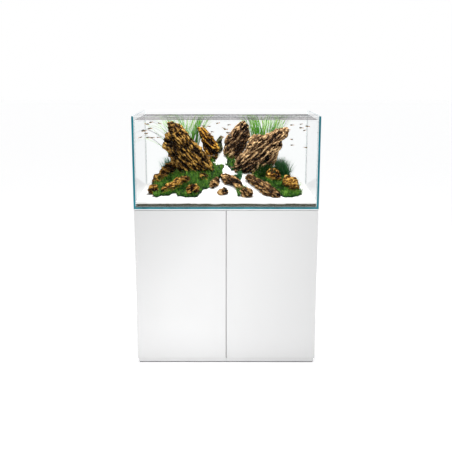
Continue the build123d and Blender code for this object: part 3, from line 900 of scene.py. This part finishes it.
@dataclass(frozen=True)
class Strata:
    """How a stone is layered: the layers' slope, and the relief that weather has left."""

    slope: float
    bulge: float = 0.014
    ridge: float = 0.011
    chip: float = 0.0055
    pit: float = 0.013

    def weather(self, rings: np.ndarray, seed: int) -> tuple[np.ndarray, np.ndarray]:
        """Push each point along its normal by bulges, long ridges, chips and pits.

        Args:
            rings: the plain stone, as closed rings of points.
            seed: which noise.

        Returns:
            The weathered points, and their relief from 0 in the pits to 1 on the crests.
        """
        x, y, z = rings[..., 0], rings[..., 1], rings[..., 2]
        along = x * math.cos(self.slope) + z * math.sin(self.slope)
        over = z * math.cos(self.slope) - x * math.sin(self.slope)
        bulge = fractal(np.stack([along * 9, y * 12, over * 14], -1), seed, 3) - 0.5
        warp = 0.35 * fractal(np.stack([along * 16, y * 16, over * 16], -1), seed + 5, 2)
        ridge = ridged(np.stack([along * 15, y * 26, over * 60 + warp * 5], -1), seed + 11, 3) - 0.62
        chip = nearest_seed(np.stack([along * 48, y * 76, over * 120 + warp * 7], -1), seed + 23) - 0.5
        pit = nearest_seed(np.stack([along * 32, y * 44, over * 62], -1), seed + 37)
        pit = np.clip(0.5 - pit, 0, 0.5) * 2
        push = self.bulge * bulge * 2 + self.ridge * ridge * 2 + self.chip * chip * 2 - self.pit * pit
        relief = 0.5 + 1.25 * ridge + 0.5 * chip - 0.75 * pit + 0.2 * bulge
        ends = np.linspace(0, 1, len(rings))
        hold = np.clip(np.minimum(ends, 1 - ends) * 40, 0.0, 1.0)[:, None]
        return rings + grid_normals(rings) * (push * hold)[..., None], np.clip(relief, 0, 1)


@dataclass(frozen=True)
class BigRock:
    """A leaning slab of stone: an upright outline, thinned to the front and to the back."""

    name: str
    outline: tuple[tuple[float, float], ...]
    middle: float
    half_depth: float
    strata: Strata
    finish: LayeredStone
    seed: int
    blunt: float = 3.0

    def surface(self, around: int = 420, rings: int = 190) -> Surface:
        """Superellipse between outline and depth, then weathered.

        A ring's size is cos(a) to the power 2/blunt and its depth sin(a) to the same power, for
        a from -90 to 90 degrees, so the faces are flat and the rims are round.

        Args:
            around: points round each ring.
            rings: rings from front to back.

        Returns:
            The stone.
        """
        edge = round_outline(self.outline, around, 3)
        middle = edge.mean(0)
        turn = np.linspace(-math.pi / 2, math.pi / 2, rings + 2)[1:-1]
        size = np.cos(turn) ** (2 / self.blunt)
        depth = np.sign(turn) * abs(np.sin(turn)) ** (2 / self.blunt)
        flat = middle + size[:, None, None] * (edge - middle)
        y = np.broadcast_to((self.middle + self.half_depth * depth)[:, None], flat.shape[:2])
        plain = np.stack([flat[..., 0], y, flat[..., 1]], -1)
        worn, relief = self.strata.weather(plain, self.seed)
        return capped(worn, {"relief": relief})

    def build(self) -> None:
        """Make the rock in place of its plain solid."""
        self.surface().piece(f"{self.name}_stone", self.finish.material(), "dragon_stone",
                             stands_for=(self.name,))


@dataclass(frozen=True)
class LooseStones:
    """A scatter of small stones of the same kind, half sunk in the ground."""

    name: str
    stones: tuple[tuple[float, float, float, float, float, float], ...]
    finish: LayeredStone
    seed: int
    stands_for: tuple[str, ...] = ()
    sunk: float = 0.012

    def lump(self, ground: Ground, stone: tuple[float, ...], seed: int) -> Surface:
        """A superellipsoid on its own length, width and height, turned, lying along the slope of
        the ground, and weathered."""
        x, y, length, width, height, turn = stone
        a = np.linspace(-math.pi / 2, math.pi / 2, 72)[1:-1]
        b = np.linspace(0, 2 * math.pi, 130, endpoint=False)
        ring = np.cos(a)[:, None] ** 0.75
        u = ring * np.sign(np.cos(b)) * abs(np.cos(b)) ** 0.8 * length / 2
        v = ring * np.sign(np.sin(b)) * abs(np.sin(b)) ** 0.8 * width / 2
        c, s = math.cos(turn), math.sin(turn)
        low = ground.height(x + u * c, y + u * s) - self.sunk
        w = low + (height + self.sunk) * (np.sin(a)[:, None] + 1) / 2
        plain = np.stack([x + u * c - v * s, y + u * s + v * c, w], -1)
        layers = Strata(turn + 0.3 * (seed % 5 - 2), 0.015, 0.008, 0.0055, 0.011)
        worn, relief = layers.weather(plain, seed)
        return capped(worn, {"relief": relief})

    def build(self, ground: Ground) -> None:
        """Make the whole scatter as one piece."""
        lumps = [self.lump(ground, stone, self.seed + 7 * k) for k, stone in enumerate(self.stones)]
        Surface.joined(lumps).piece(self.name, self.finish.material(), "dragon_stone",
                                    stands_for=self.stands_for)


# ------------------------------------------------------------------------------------- plants
@dataclass
class Leaves:
    """Many narrow leaves, each a three-sided ribbon that bends over along its length."""

    roots: np.ndarray
    heading: np.ndarray
    length: np.ndarray
    lean: np.ndarray
    curl: np.ndarray
    width: np.ndarray
    levels: int
    tone: np.ndarray
    ceiling: float | None = None

    def surface(self) -> Surface:
        """Leaf angle from upright is lean + curl * t^1.6, summed step by step into a midrib; the
        width falls off as the square root of 1 - t^2.

        Returns:
            All leaves in one surface, with "along" and "tone" at each point.
        """
        n, k = len(self.roots), self.levels
        t = np.linspace(0, 1, k + 1)
        angle = self.lean[:, None] + self.curl[:, None] * t ** 1.6
        out = np.stack([np.cos(self.heading), np.sin(self.heading), 0 * self.heading], -1)[:, None]
        up = np.array([0, 0, 1.0])
        tangent = np.sin(angle)[..., None] * out + np.cos(angle)[..., None] * up
        step = (self.length / k)[:, None, None]
        rib = self.roots[:, None] + np.concatenate(
            [np.zeros((n, 1, 3)), np.cumsum((tangent[:, 1:] + tangent[:, :-1]) / 2 * step, axis=1)], 1)
        if self.ceiling is not None:
            sway = 0.002 * np.sin(self.heading * 7)[:, None]
            rib[..., 2] = np.minimum(rib[..., 2], self.ceiling - 0.004 + sway)
        side = np.stack([-np.sin(self.heading), np.cos(self.heading), 0 * self.heading], -1)[:, None]
        fold = np.cos(angle)[..., None] * out - np.sin(angle)[..., None] * up
        broad = (self.width[:, None] * np.sqrt(1 - t[:-1] ** 2 * 0.96))[..., None]
        body = rib[:, :-1]
        three = np.stack([body + side * broad / 2, body - side * broad / 2,
                          body + fold[:, :-1] * broad * 0.28], axis=2)
        points = np.concatenate([three.reshape(n, k * 3, 3), rib[:, -1:]], 1)
        per = k * 3 + 1
        start = (np.arange(n) * per)[:, None, None]
        quads = (start + grid_faces(k, 3, True)[None]).reshape(-1, 4)
        last = (k - 1) * 3
        ends = np.array([[2, 1, 0]] + [[last + i, last + (i + 1) % 3, per - 1] for i in range(3)])
        tris = (start + ends[None]).reshape(-1, 3)
        along = np.concatenate([np.repeat(t[:-1], 3), [1.0]])
        return Surface(points.reshape(-1, 3), quads, tris,
                       {"along": np.tile(along, n), "tone": np.repeat(self.tone, per)}).outward()


@dataclass(frozen=True)
class Turf:
    """A patch of ground planted with short leaves, over a soft green mat that stands for the
    carpet's dense foot and is painted dark as the shade between the leaves.
    """

    name: str
    patch: tuple[tuple[float, float], ...]
    finish: Leaf
    seed: int
    stands_for: tuple[str, ...] = ()
    spacing: float = 0.0038
    height: Limits = (0.013, 0.03)
    width: float = 0.0024
    mat: float = 0.006
    lean: Limits = (0.1, 0.9)

    def ragged(self, x: np.ndarray, y: np.ndarray) -> np.ndarray:
        """Whether places are in the patch, its border shifted by noise."""
        shift = np.stack([x * 45, y * 45, x * 0], -1)
        return inside(self.patch, x + 0.045 * (fractal(shift, self.seed) - 0.5),
                      y + 0.045 * (fractal(shift + 40, self.seed) - 0.5))

    def cushion(self, x: np.ndarray, y: np.ndarray) -> np.ndarray:
        """Height of the mat over the sand, in rounded lumps."""
        lumps = 1 - nearest_seed(np.stack([x * 42, y * 42, x * 0], -1), self.seed)
        return self.mat * (0.35 + 0.9 * lumps)

    def build(self, ground: Ground) -> None:
        """Plant the leaves on a jittered grid, and lay the mat, painted dark as shade, under them."""
        rng = np.random.default_rng(self.seed)
        corners = np.array(self.patch)
        low, high = corners.min(0) - 0.02, corners.max(0) + 0.02
        x, y = np.meshgrid(np.arange(low[0], high[0], self.spacing),
                           np.arange(low[1], high[1], self.spacing), indexing="ij")
        x = (x + rng.uniform(-0.6, 0.6, x.shape) * self.spacing).ravel()
        y = (y + rng.uniform(-0.6, 0.6, y.shape) * self.spacing).ravel()
        keep = self.ragged(x, y)
        x, y = x[keep], y[keep]
        root = ground.height(x, y) + self.cushion(x, y) * 0.7 - 0.001
        n = len(x)
        clumps = fractal(np.stack([x * 75, y * 75, x * 0], -1), self.seed + 3, 2)
        clumps = np.clip((clumps - 0.5) * 2.2 + 0.5, 0, 1)
        length = rng.uniform(*self.height, n) * (0.5 + 0.9 * clumps)
        leaves = Leaves(np.stack([x, y, root], -1), rng.uniform(0, 2 * math.pi, n), length,
                        rng.uniform(*self.lean, n), rng.uniform(0.0, 0.9, n),
                        np.full(n, self.width) * rng.uniform(0.7, 1.3, n), 2,
                        np.clip(0.7 * clumps + 0.8 * rng.uniform(0, 1, n) - 0.25, 0, 1)).surface()
        leaves.piece(f"{self.name}_leaves", self.finish.material(), "plant",
                     stands_for=self.stands_for)
        mx, my = np.meshgrid(np.arange(low[0], high[0], 0.003), np.arange(low[1], high[1], 0.003),
                             indexing="ij")
        floor = ground.height(mx, my)
        lift = np.where(self.ragged(mx, my), self.cushion(mx, my), -0.006)
        mat = slab(np.stack([mx, my, floor + lift], -1), np.stack([mx, my, floor - 0.008], -1))
        # The mat takes the leaf's darkest foot colour: painted shade between the leaves.
        mat.values = {"along": np.zeros(len(mat.points)), "tone": np.full(len(mat.points), 0.45)}
        mat.piece(f"{self.name}_mat", self.finish.material(), "plant")


@dataclass(frozen=True)
class Tuft:
    """A stand of longer leaves that fan out from a strip of ground."""

    name: str
    across: Limits
    along: Limits
    count: int
    length: Limits
    spread: float
    curl: Limits
    width: float
    finish: Leaf
    seed: int
    stands_for: tuple[str, ...] = ()
    levels: int = 10
    fan: bool = True
    lift: float = 0.0
    towards: float | None = None

    def build(self, ground: Ground) -> None:
        """Scatter the roots, aim each leaf, either one way, away from the stand's middle or any
        way, and grow it."""
        rng = np.random.default_rng(self.seed)
        n = self.count
        x, y = rng.uniform(*self.across, n), rng.uniform(*self.along, n)
        root = ground.height(x, y) - 0.004 + self.lift
        middle, half = sum(self.across) / 2, max((self.across[1] - self.across[0]) / 2, 1e-3)
        outwards = (x - middle) / half
        if self.towards is not None:
            heading = self.towards + rng.normal(0, 0.25, n)
        elif self.fan:
            heading = np.where(rng.uniform(-1, 1, n) + outwards * 1.2 > 0, 0.0, math.pi)
            heading = heading + rng.normal(0, 0.35, n)
        else:
            heading = rng.uniform(0, 2 * math.pi, n)
        lean = self.spread * rng.uniform(0.0, 1.0, n) * (0.35 + 0.65 * abs(outwards))
        leaves = Leaves(np.stack([x, y, root], -1), heading, rng.uniform(*self.length, n), lean,
                        rng.uniform(*self.curl, n), self.width * rng.uniform(0.7, 1.3, n),
                        self.levels, rng.uniform(0, 1, n), ground.space.water)
        surface = leaves.surface()
        s = ground.space
        surface.points[:, 1] = np.clip(surface.points[:, 1], s.front + PANE_GAP, s.back - PANE_GAP)
        surface.points[:, 0] = np.clip(surface.points[:, 0], s.left + PANE_GAP, s.right - PANE_GAP)
        surface.piece(self.name, self.finish.material(), "plant", stands_for=self.stands_for)


# -------------------------------------------------------------------------------- fish, water
@dataclass(frozen=True)
class Shoal:
    """Small fish that hang in loose groups and face mostly one way."""

    name: str
    groups: tuple[tuple[Limits, Limits, Limits, int], ...]
    finish: FishSkin = FishSkin()
    length: Limits = (0.017, 0.023)
    seed: int = 90
    around: int = 10
    turned_back: float = 0.35

    def fish(self, rng: np.random.Generator, place: np.ndarray) -> Surface:
        """Elliptical rings along the body, thin and tall again at the tail fin.

        Args:
            rng: the shoal's random numbers.
            place: the middle of the body.

        Returns:
            The fish, with "height" from belly to back and "fin" on its tail.
        """
        along = np.array([0.0, 0.05, 0.16, 0.32, 0.48, 0.62, 0.74, 0.8, 0.9, 1.0])
        tall = np.array([0.03, 0.09, 0.15, 0.185, 0.165, 0.11, 0.05, 0.05, 0.12, 0.16])
        wide = np.array([0.02, 0.06, 0.1, 0.12, 0.1, 0.06, 0.03, 0.012, 0.008, 0.006])
        turn = np.linspace(0, 2 * math.pi, self.around, endpoint=False)
        shape = (len(along), self.around)
        length = rng.uniform(*self.length)
        sway = 0.04 * math.sin(rng.uniform(0, 6)) * along ** 2
        x = np.broadcast_to((along - 0.4)[:, None], shape)
        y = wide[:, None] * np.cos(turn) + sway[:, None]
        z = tall[:, None] * np.sin(turn)
        yaw = rng.normal(0, 0.35) + (math.pi if rng.uniform() < self.turned_back else 0.0)
        pitch = rng.normal(0, 0.12)
        x, z = x * math.cos(pitch) - z * math.sin(pitch), x * math.sin(pitch) + z * math.cos(pitch)
        c, s = math.cos(yaw), math.sin(yaw)
        rings = place + length * np.stack([x * c - y * s, x * s + y * c, z], -1)
        height = np.broadcast_to((np.sin(turn) + 1) / 2, shape)
        fin = np.broadcast_to((along > 0.82).astype(float)[:, None], shape)
        return capped(rings, {"height": height, "fin": fin})

    def build(self) -> None:
        """Scatter each group in its own part of the water."""
        rng = np.random.default_rng(self.seed)
        fish = [self.fish(rng, np.array([rng.uniform(*x), rng.uniform(*y), rng.uniform(*z)]))
                for x, y, z, count in self.groups for _ in range(count)]
        Surface.joined(fish).piece(self.name, self.finish.material(), "plant")


@dataclass(frozen=True)
class Water:
    """The water, from just over the sand to just under the rim, with a faint swell on top."""

    finish: ClearWater = ClearWater()

    def build(self, ground: Ground) -> None:
        """A closed slab between the ground and the surface, which is a sum of slow waves."""
        x, y = ground.grid(180, 90)
        swell = fractal(np.stack([x * 9, y * 14, x * 0], -1), 61, 3) - 0.5
        top = ground.space.water + 0.0012 * swell
        bottom = np.minimum(ground.height(x, y) + 0.003, top - 0.01)
        body = slab(np.stack([x, y, top], -1), np.stack([x, y, bottom], -1))
        body.values = {"top": np.repeat([1.0, 0.0], x.size)}
        body.piece("water", self.finish.material(), "clear_glass")


@dataclass
class Aquascape:
    """Everything inside the glass."""

    space: TankSpace = field(default_factory=TankSpace)

    def rocks(self) -> list[BigRock]:
        """The four big rocks, in two leaning pairs."""
        # Each stone's first colour is painted shade for its hollows; its last, the pale tip, is partly
        # painted highlight.
        ochre = LayeredStone("ochre_stone", (0.003, 0.002, 0.001), (0.055, 0.026, 0.006),
                             (0.36, 0.17, 0.026), (0.74, 0.44, 0.11), -0.85)
        orange = LayeredStone("orange_stone", (0.008, 0.004, 0.002), (0.15, 0.058, 0.008),
                              (0.54, 0.24, 0.02), (0.8, 0.46, 0.07), -0.8)
        brown = LayeredStone("brown_stone", (0.007, 0.004, 0.003), (0.13, 0.066, 0.03),
                             (0.44, 0.25, 0.115), (0.8, 0.55, 0.28), 0.68)
        return [
            BigRock("left_main_rock",
                    ((-0.28, 1.202), (-0.243, 1.187), (-0.214, 1.158), (-0.185, 1.122), (-0.13, 1.06),
                     (-0.096, 1.012), (-0.06, 0.943), (-0.075, 0.915), (-0.255, 0.905), (-0.266, 0.964),
                     (-0.299, 1.012), (-0.3, 1.05), (-0.322, 1.07), (-0.321, 1.125), (-0.296, 1.15),
                     (-0.3, 1.19)), 0.09, 0.058, Strata(-0.82), ochre, 3),
            BigRock("left_back_rock",
                    ((-0.152, 1.163), (-0.119, 1.158), (-0.071, 1.12), (-0.038, 1.06), (-0.045, 0.985),
                     (-0.105, 0.985), (-0.132, 1.087)), 0.15, 0.032,
                    Strata(-0.75, 0.01, 0.009, 0.004, 0.01), orange, 14),
            BigRock("right_main_rock",
                    ((0.319, 1.163), (0.325, 1.134), (0.3, 1.12), (0.284, 1.107), (0.292, 1.073),
                     (0.273, 1.047), (0.253, 0.994), (0.206, 0.935), (0.14, 0.9), (0.05, 0.905),
                     (0.036, 0.951), (0.057, 1.005), (0.112, 1.053), (0.125, 1.107), (0.151, 1.127),
                     (0.204, 1.124), (0.259, 1.155)), 0.085, 0.054, Strata(0.7), brown, 29),
            BigRock("right_back_rock",
                    ((0.098, 1.203), (0.117, 1.172), (0.124, 1.12), (0.085, 1.03), (0.075, 0.985),
                     (0.005, 0.985), (-0.018, 1.039), (-0.01, 1.1), (0.02, 1.125), (0.058, 1.175)),
                    0.152, 0.036, Strata(1.05, 0.01, 0.009, 0.004, 0.01), brown, 41),
        ]

    def loose_stones(self) -> list[LooseStones]:
        """Small stones in the turf and along the path. Place, length, width, height, turn."""
        # Each stone's first colour is painted shade for its hollows; its last, the pale tip, is partly
        # painted highlight.
        ochre = LayeredStone("loose_ochre_stone", (0.005, 0.003, 0.002), (0.12, 0.048, 0.01),
                             (0.52, 0.23, 0.03), (0.82, 0.5, 0.12), 0.35)
        brown = LayeredStone("loose_brown_stone", (0.005, 0.003, 0.002), (0.11, 0.05, 0.018),
                             (0.42, 0.22, 0.08), (0.74, 0.48, 0.2), -0.6)
        mossy = LayeredStone("mossy_stone", (0.008, 0.009, 0.005), (0.045, 0.05, 0.02),
                             (0.12, 0.13, 0.05), (0.25, 0.24, 0.13), 0.4)
        return [
            LooseStones("left_loose_stones", (
                (-0.308, 0.1, 0.082, 0.05, 0.07, 0.17), (-0.362, 0.092, 0.062, 0.046, 0.04, 0.5),
                (-0.372, -0.05, 0.056, 0.044, 0.042, -0.26), (-0.262, -0.038, 0.165, 0.036, 0.034, 0.45),
                (-0.172, -0.092, 0.07, 0.052, 0.05, 0.2), (-0.112, 0.012, 0.044, 0.03, 0.026, 0.0)),
                ochre, 200, ("small_rocks_left",)),
            LooseStones("right_loose_stones", (
                (-0.058, -0.024, 0.07, 0.026, 0.022, 1.0), (0.03, -0.014, 0.135, 0.044, 0.032, -0.56),
                (-0.015, -0.078, 0.042, 0.03, 0.02, 0.1), (0.104, -0.108, 0.064, 0.048, 0.042, -0.44),
                (0.184, -0.058, 0.21, 0.058, 0.042, -0.7)), brown, 300, ("small_rocks_right",)),
            LooseStones("right_ochre_stones", (
                (0.246, 0.022, 0.068, 0.046, 0.044, 0.26), (0.322, 0.118, 0.03, 0.026, 0.046, 0.0),
                (0.33, -0.03, 0.078, 0.058, 0.066, -0.35)), ochre, 400),
            LooseStones("back_stone", ((-0.034, 0.182, 0.034, 0.024, 0.062, 1.2),), mossy, 450),
        ]

    def planting(self) -> list[Turf | Tuft]:
        """Short turf on both slopes, small patches along the path, and taller stands behind."""
        # Each turf's mat takes its leaf's foot colour, as painted shade between the leaves.
        turf = Leaf("turf_leaf", (0.004, 0.017, 0.004), (0.025, 0.125, 0.012), (0.24, 0.48, 0.06))
        grass = Leaf("grass_leaf", (0.03, 0.22, 0.012), (0.12, 0.47, 0.035), (0.52, 0.78, 0.17))
        needle = Leaf("needle_leaf", (0.006, 0.045, 0.012), (0.02, 0.12, 0.03), (0.1, 0.28, 0.1))
        # Nearly black leaves: a real low bush, painted dark as the shade under the right main rock.
        shade = Leaf("painted_shade_leaf", (0.002, 0.01, 0.002), (0.006, 0.035, 0.005), (0.03, 0.1, 0.015))
        blue = Leaf("blue_leaf", (0.012, 0.09, 0.04), (0.035, 0.18, 0.1), (0.16, 0.4, 0.28))
        return [
            Turf("left_turf", ((-0.388, -0.02), (-0.355, -0.105), (-0.27, -0.085), (-0.2, -0.125),
                               (-0.14, -0.115), (-0.115, -0.06), (-0.085, -0.045), (-0.03, 0.02),
                               (-0.012, 0.085), (-0.1, 0.1), (-0.28, 0.1), (-0.385, 0.07)),
                 turf, 501, ("carpet_left",)),
            Turf("right_turf", ((0.13, -0.02), (0.155, 0.06), (0.25, 0.09), (0.375, 0.09),
                                (0.388, -0.03), (0.365, -0.1), (0.3, -0.12), (0.235, -0.09),
                                (0.19, -0.02), (0.15, -0.03)), turf, 502, ("carpet_right",)),
            Turf("path_turf", ((-0.115, 0.118), (-0.06, 0.105), (-0.055, 0.145), (-0.11, 0.15)), turf, 503),
            Turf("rock_turf", ((-0.005, 0.1), (0.055, 0.055), (0.075, 0.085), (0.03, 0.14), (0.0, 0.14)),
                 turf, 504),
            Turf("stone_turf", ((0.035, 0.0), (0.07, -0.005), (0.075, 0.03), (0.04, 0.035)), needle, 505,
                 height=(0.016, 0.03)),
            Turf("front_turf", ((0.05, -0.1), (0.085, -0.1), (0.115, -0.07), (0.1, -0.045), (0.06, -0.07)),
                 turf, 506),
            Tuft("left_grass", (-0.275, -0.165), (0.16, 0.206), 130, (0.22, 0.37), 0.2, (0.05, 0.8), 0.0065,
                 grass, 511, ("tall_grass_left",)),
            Tuft("left_trailing_grass", (-0.26, -0.2), (0.16, 0.206), 18, (0.3, 0.42), 0.85, (0.8, 1.3),
                 0.005, grass, 512, towards=math.pi),
            Tuft("right_grass", (0.145, 0.25), (0.155, 0.206), 160, (0.22, 0.36), 0.2, (0.05, 0.7), 0.0065,
                 grass, 513, ("tall_grass_right",)),
            Tuft("right_trailing_grass", (0.215, 0.25), (0.17, 0.206), 6, (0.34, 0.42), 0.6, (0.4, 0.8),
                 0.005, grass, 516, towards=0.0),
            # A low bush under the right main rock, its near-black leaves painted shade.
            Tuft("painted_shade_bush", (0.165, 0.265), (0.01, 0.05), 420, (0.04, 0.075), 0.7, (0.0, 0.7), 0.0022,
                 shade, 517, (), 4, False, 0.004),
            Tuft("right_bush", (0.262, 0.33), (0.06, 0.125), 620, (0.055, 0.105), 0.75, (0.0, 0.7), 0.0018,
                 needle, 514, ("bush_plant",), 4, False, 0.01),
            Tuft("left_tuft", (-0.335, -0.285), (0.12, 0.15), 240, (0.06, 0.105), 0.6, (0.1, 0.8), 0.0019,
                 blue, 515, (), 4, False, 0.012),
        ]

    def build(self) -> None:
        """Make the ground, then what stands on it, then the fish and the water."""
        ground = Ground(self.space)
        ground.build()
        for rock in self.rocks():
            rock.build()
        for stones in self.loose_stones():
            stones.build(ground)
        for plants in self.planting():
            plants.build(ground)
        Shoal("fish", (((-0.43, -0.3), (-0.2, -0.05), (1.135, 1.222), 14),
                       ((-0.12, 0.05), (-0.16, 0.02), (1.12, 1.215), 15),
                       ((0.31, 0.41), (-0.12, 0.06), (1.06, 1.21), 9),
                       ((-0.09, -0.06), (0.0, 0.06), (1.02, 1.05), 2),
                       ((0.01, 0.03), (0.0, 0.02), (0.965, 0.975), 1))).build()
        Water().build(ground)


# ------------------------------------------------------------------- the frame's own pieces
@dataclass
class Cabinet:
    """The stand, its doors, hinges and catches: the frame's nodes, dressed."""

    def finishes(self) -> dict[str, tuple[str, ...]]:
        """Which nodes take which finish."""
        sides = ("left", "right")
        return {
            "lacquer": ("left_door", "right_door", "plinth_front"),
            "board": ("side_panel_left", "side_panel_right", "floor_panel", "top_panel", "back_panel",
                      "centre_divider", "shelf", "plinth_back", "plinth_cross_boards"),
            "steel": ("shelf_pins", "cam_locks", "cam_bolts", "hinge_plates", "hinge_arms", "hinge_screws",
                      *(f"{part}_{side}" for side in sides
                        for part in ("hinge_cups", "hinge_pins", "cup_screws", "strike_plate"))),
            "grey": ("cable_grommets", "latch_housings", "latch_plunger_left", "latch_plunger_right"),
            "pad": ("floor_pads",),
            "foam": ("levelling_mat",),
            "sealant": ("silicone_seams", "door_bumpers"),
        }

    def build(self) -> None:
        """Dress every node."""
        made = {
            "lacquer": Lacquer().material(), "board": FacedBoard().material(),
            "steel": PlatedSteel().material(),
            "grey": MouldedPlastic("grey_plastic", (0.14, 0.145, 0.15)).material(),
            "pad": MouldedPlastic("pad_plastic", (0.02, 0.02, 0.02), 0.6).material(),
            "foam": FoamSheet().material(), "sealant": Sealant().material(),
        }
        for finish, nodes in self.finishes().items():
            for node in nodes:
                dress(node, made[finish])


@dataclass
class GlassBox:
    """The five panes of the tank, dressed."""

    def build(self) -> None:
        """End panes, long panes and the bottom pane each have their own broad side."""
        for side, nodes in {PaneSide.END: ("tank_left_glass", "tank_right_glass"),
                            PaneSide.LONG: ("tank_front_glass", "tank_back_glass"),
                            PaneSide.BOTTOM: ("tank_bottom_glass",)}.items():
            glass = ClearGlass(side).material()
            for node in nodes:
                dress(node, glass)


def dress(node: str, material: bpy.types.Material) -> None:
    """Give a frame node its finish, in every slot it has."""
    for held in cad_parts[node].material_slots:
        held.material = material


# ------------------------------------------------------------------------------------- studio
@dataclass
class Studio:
    """Camera, white room, pale floor and soft lights."""

    camera_at: tuple[float, float, float] = (-0.0009, -3.225, 1.456)
    camera_pitch: float = 10.78
    lens: float = 50.28
    shift: float = -0.075

    def camera(self) -> None:
        """A level-headed camera a little above the rim, tipped down a few degrees."""
        lens = bpy.data.cameras.new("camera")
        lens.lens, lens.sensor_width, lens.shift_y = self.lens, 36.0, self.shift
        made = bpy.data.objects.new("camera", lens)
        made.location = self.camera_at
        made.rotation_euler = (math.radians(90 - self.camera_pitch), 0.0, 0.0)
        bpy.context.scene.collection.objects.link(made)
        bpy.context.scene.camera = made

    def room(self) -> None:
        """White all round, and a little dimmer as a source of light than it looks."""
        world = bpy.data.worlds.new("room")
        world.use_nodes = True
        tree = world.node_tree
        tree.nodes.clear()
        seen = tree.nodes.new("ShaderNodeLightPath")
        bright, dim = (tree.nodes.new("ShaderNodeBackground") for _ in range(2))
        bright.inputs["Color"].default_value = (1.0, 1.0, 1.0, 1.0)
        dim.inputs["Color"].default_value = (0.99, 0.993, 1.0, 1.0)
        dim.inputs["Strength"].default_value = 0.6
        share = tree.nodes.new("ShaderNodeMixShader")
        out = tree.nodes.new("ShaderNodeOutputWorld")
        tree.links.new(seen.outputs["Is Camera Ray"], share.inputs[0])
        tree.links.new(dim.outputs[0], share.inputs[1])
        tree.links.new(bright.outputs[0], share.inputs[2])
        tree.links.new(share.outputs[0], out.inputs["Surface"])
        bpy.context.scene.world = world

    def floor(self) -> None:
        """A wide pale sheet under everything."""
        mesh = bpy.data.meshes.new("studio_floor")
        mesh.from_pydata([(-30, -30, 0), (30, -30, 0), (30, 30, 0), (-30, 30, 0)], [], [(0, 1, 2, 3)])
        mesh.materials.append(PaleFloor().material())
        made = bpy.data.objects.new("studio_floor", mesh)
        bpy.context.scene.collection.objects.link(made)

    def softbox(self, name: str, at: tuple[float, float, float], aim: tuple[float, float, float],
                size: tuple[float, float], power: float, roll: float = 0.0, mirrored: bool = True) -> None:
        """A rectangular light that the camera doesn't see.

        Args:
            name: its name.
            at: where it hangs.
            aim: the point that it faces.
            size: width and height.
            power: watts.
            roll: degrees that it is turned about its own axis.
            mirrored: whether glossy surfaces show it.
        """
        lamp = bpy.data.lights.new(name, "AREA")
        lamp.shape, lamp.energy = "RECTANGLE", power
        lamp.size, lamp.size_y = size
        made = bpy.data.objects.new(name, lamp)
        facing = (Vector(at) - Vector(aim)).to_track_quat("Z", "Y")
        made.location = at
        made.rotation_euler = (facing @ Quaternion((0.0, 0.0, 1.0), math.radians(roll))).to_euler()
        made.visible_camera, made.visible_glossy = False, mirrored
        bpy.context.scene.collection.objects.link(made)

    def build(self) -> None:
        """Set everything up."""
        self.camera()
        self.room()
        self.floor()
        self.softbox("tank_light", (0.0, -0.08, 2.15), (0.0, 0.0, 1.0), (0.9, 0.4), 32.0)
        self.softbox("door_light", (-0.03, -0.85, 0.58), (-0.03, -0.2, 0.58), (1.2, 0.12), 2.3, 56.0, False)
        self.softbox("front_left", (-2.2, -2.6, 2.1), (0.0, 0.0, 0.7), (1.6, 1.6), 1.5)
        bpy.context.scene.view_settings.view_transform = "Standard"


def main() -> None:
    """Build the studio, the stand, the tank and what is in it."""
    logging.basicConfig(level=logging.INFO, format="%(message)s")
    Studio().build()
    Cabinet().build()
    GlassBox().build()
    Aquascape().build()


if __name__ == "__main__":
    main()
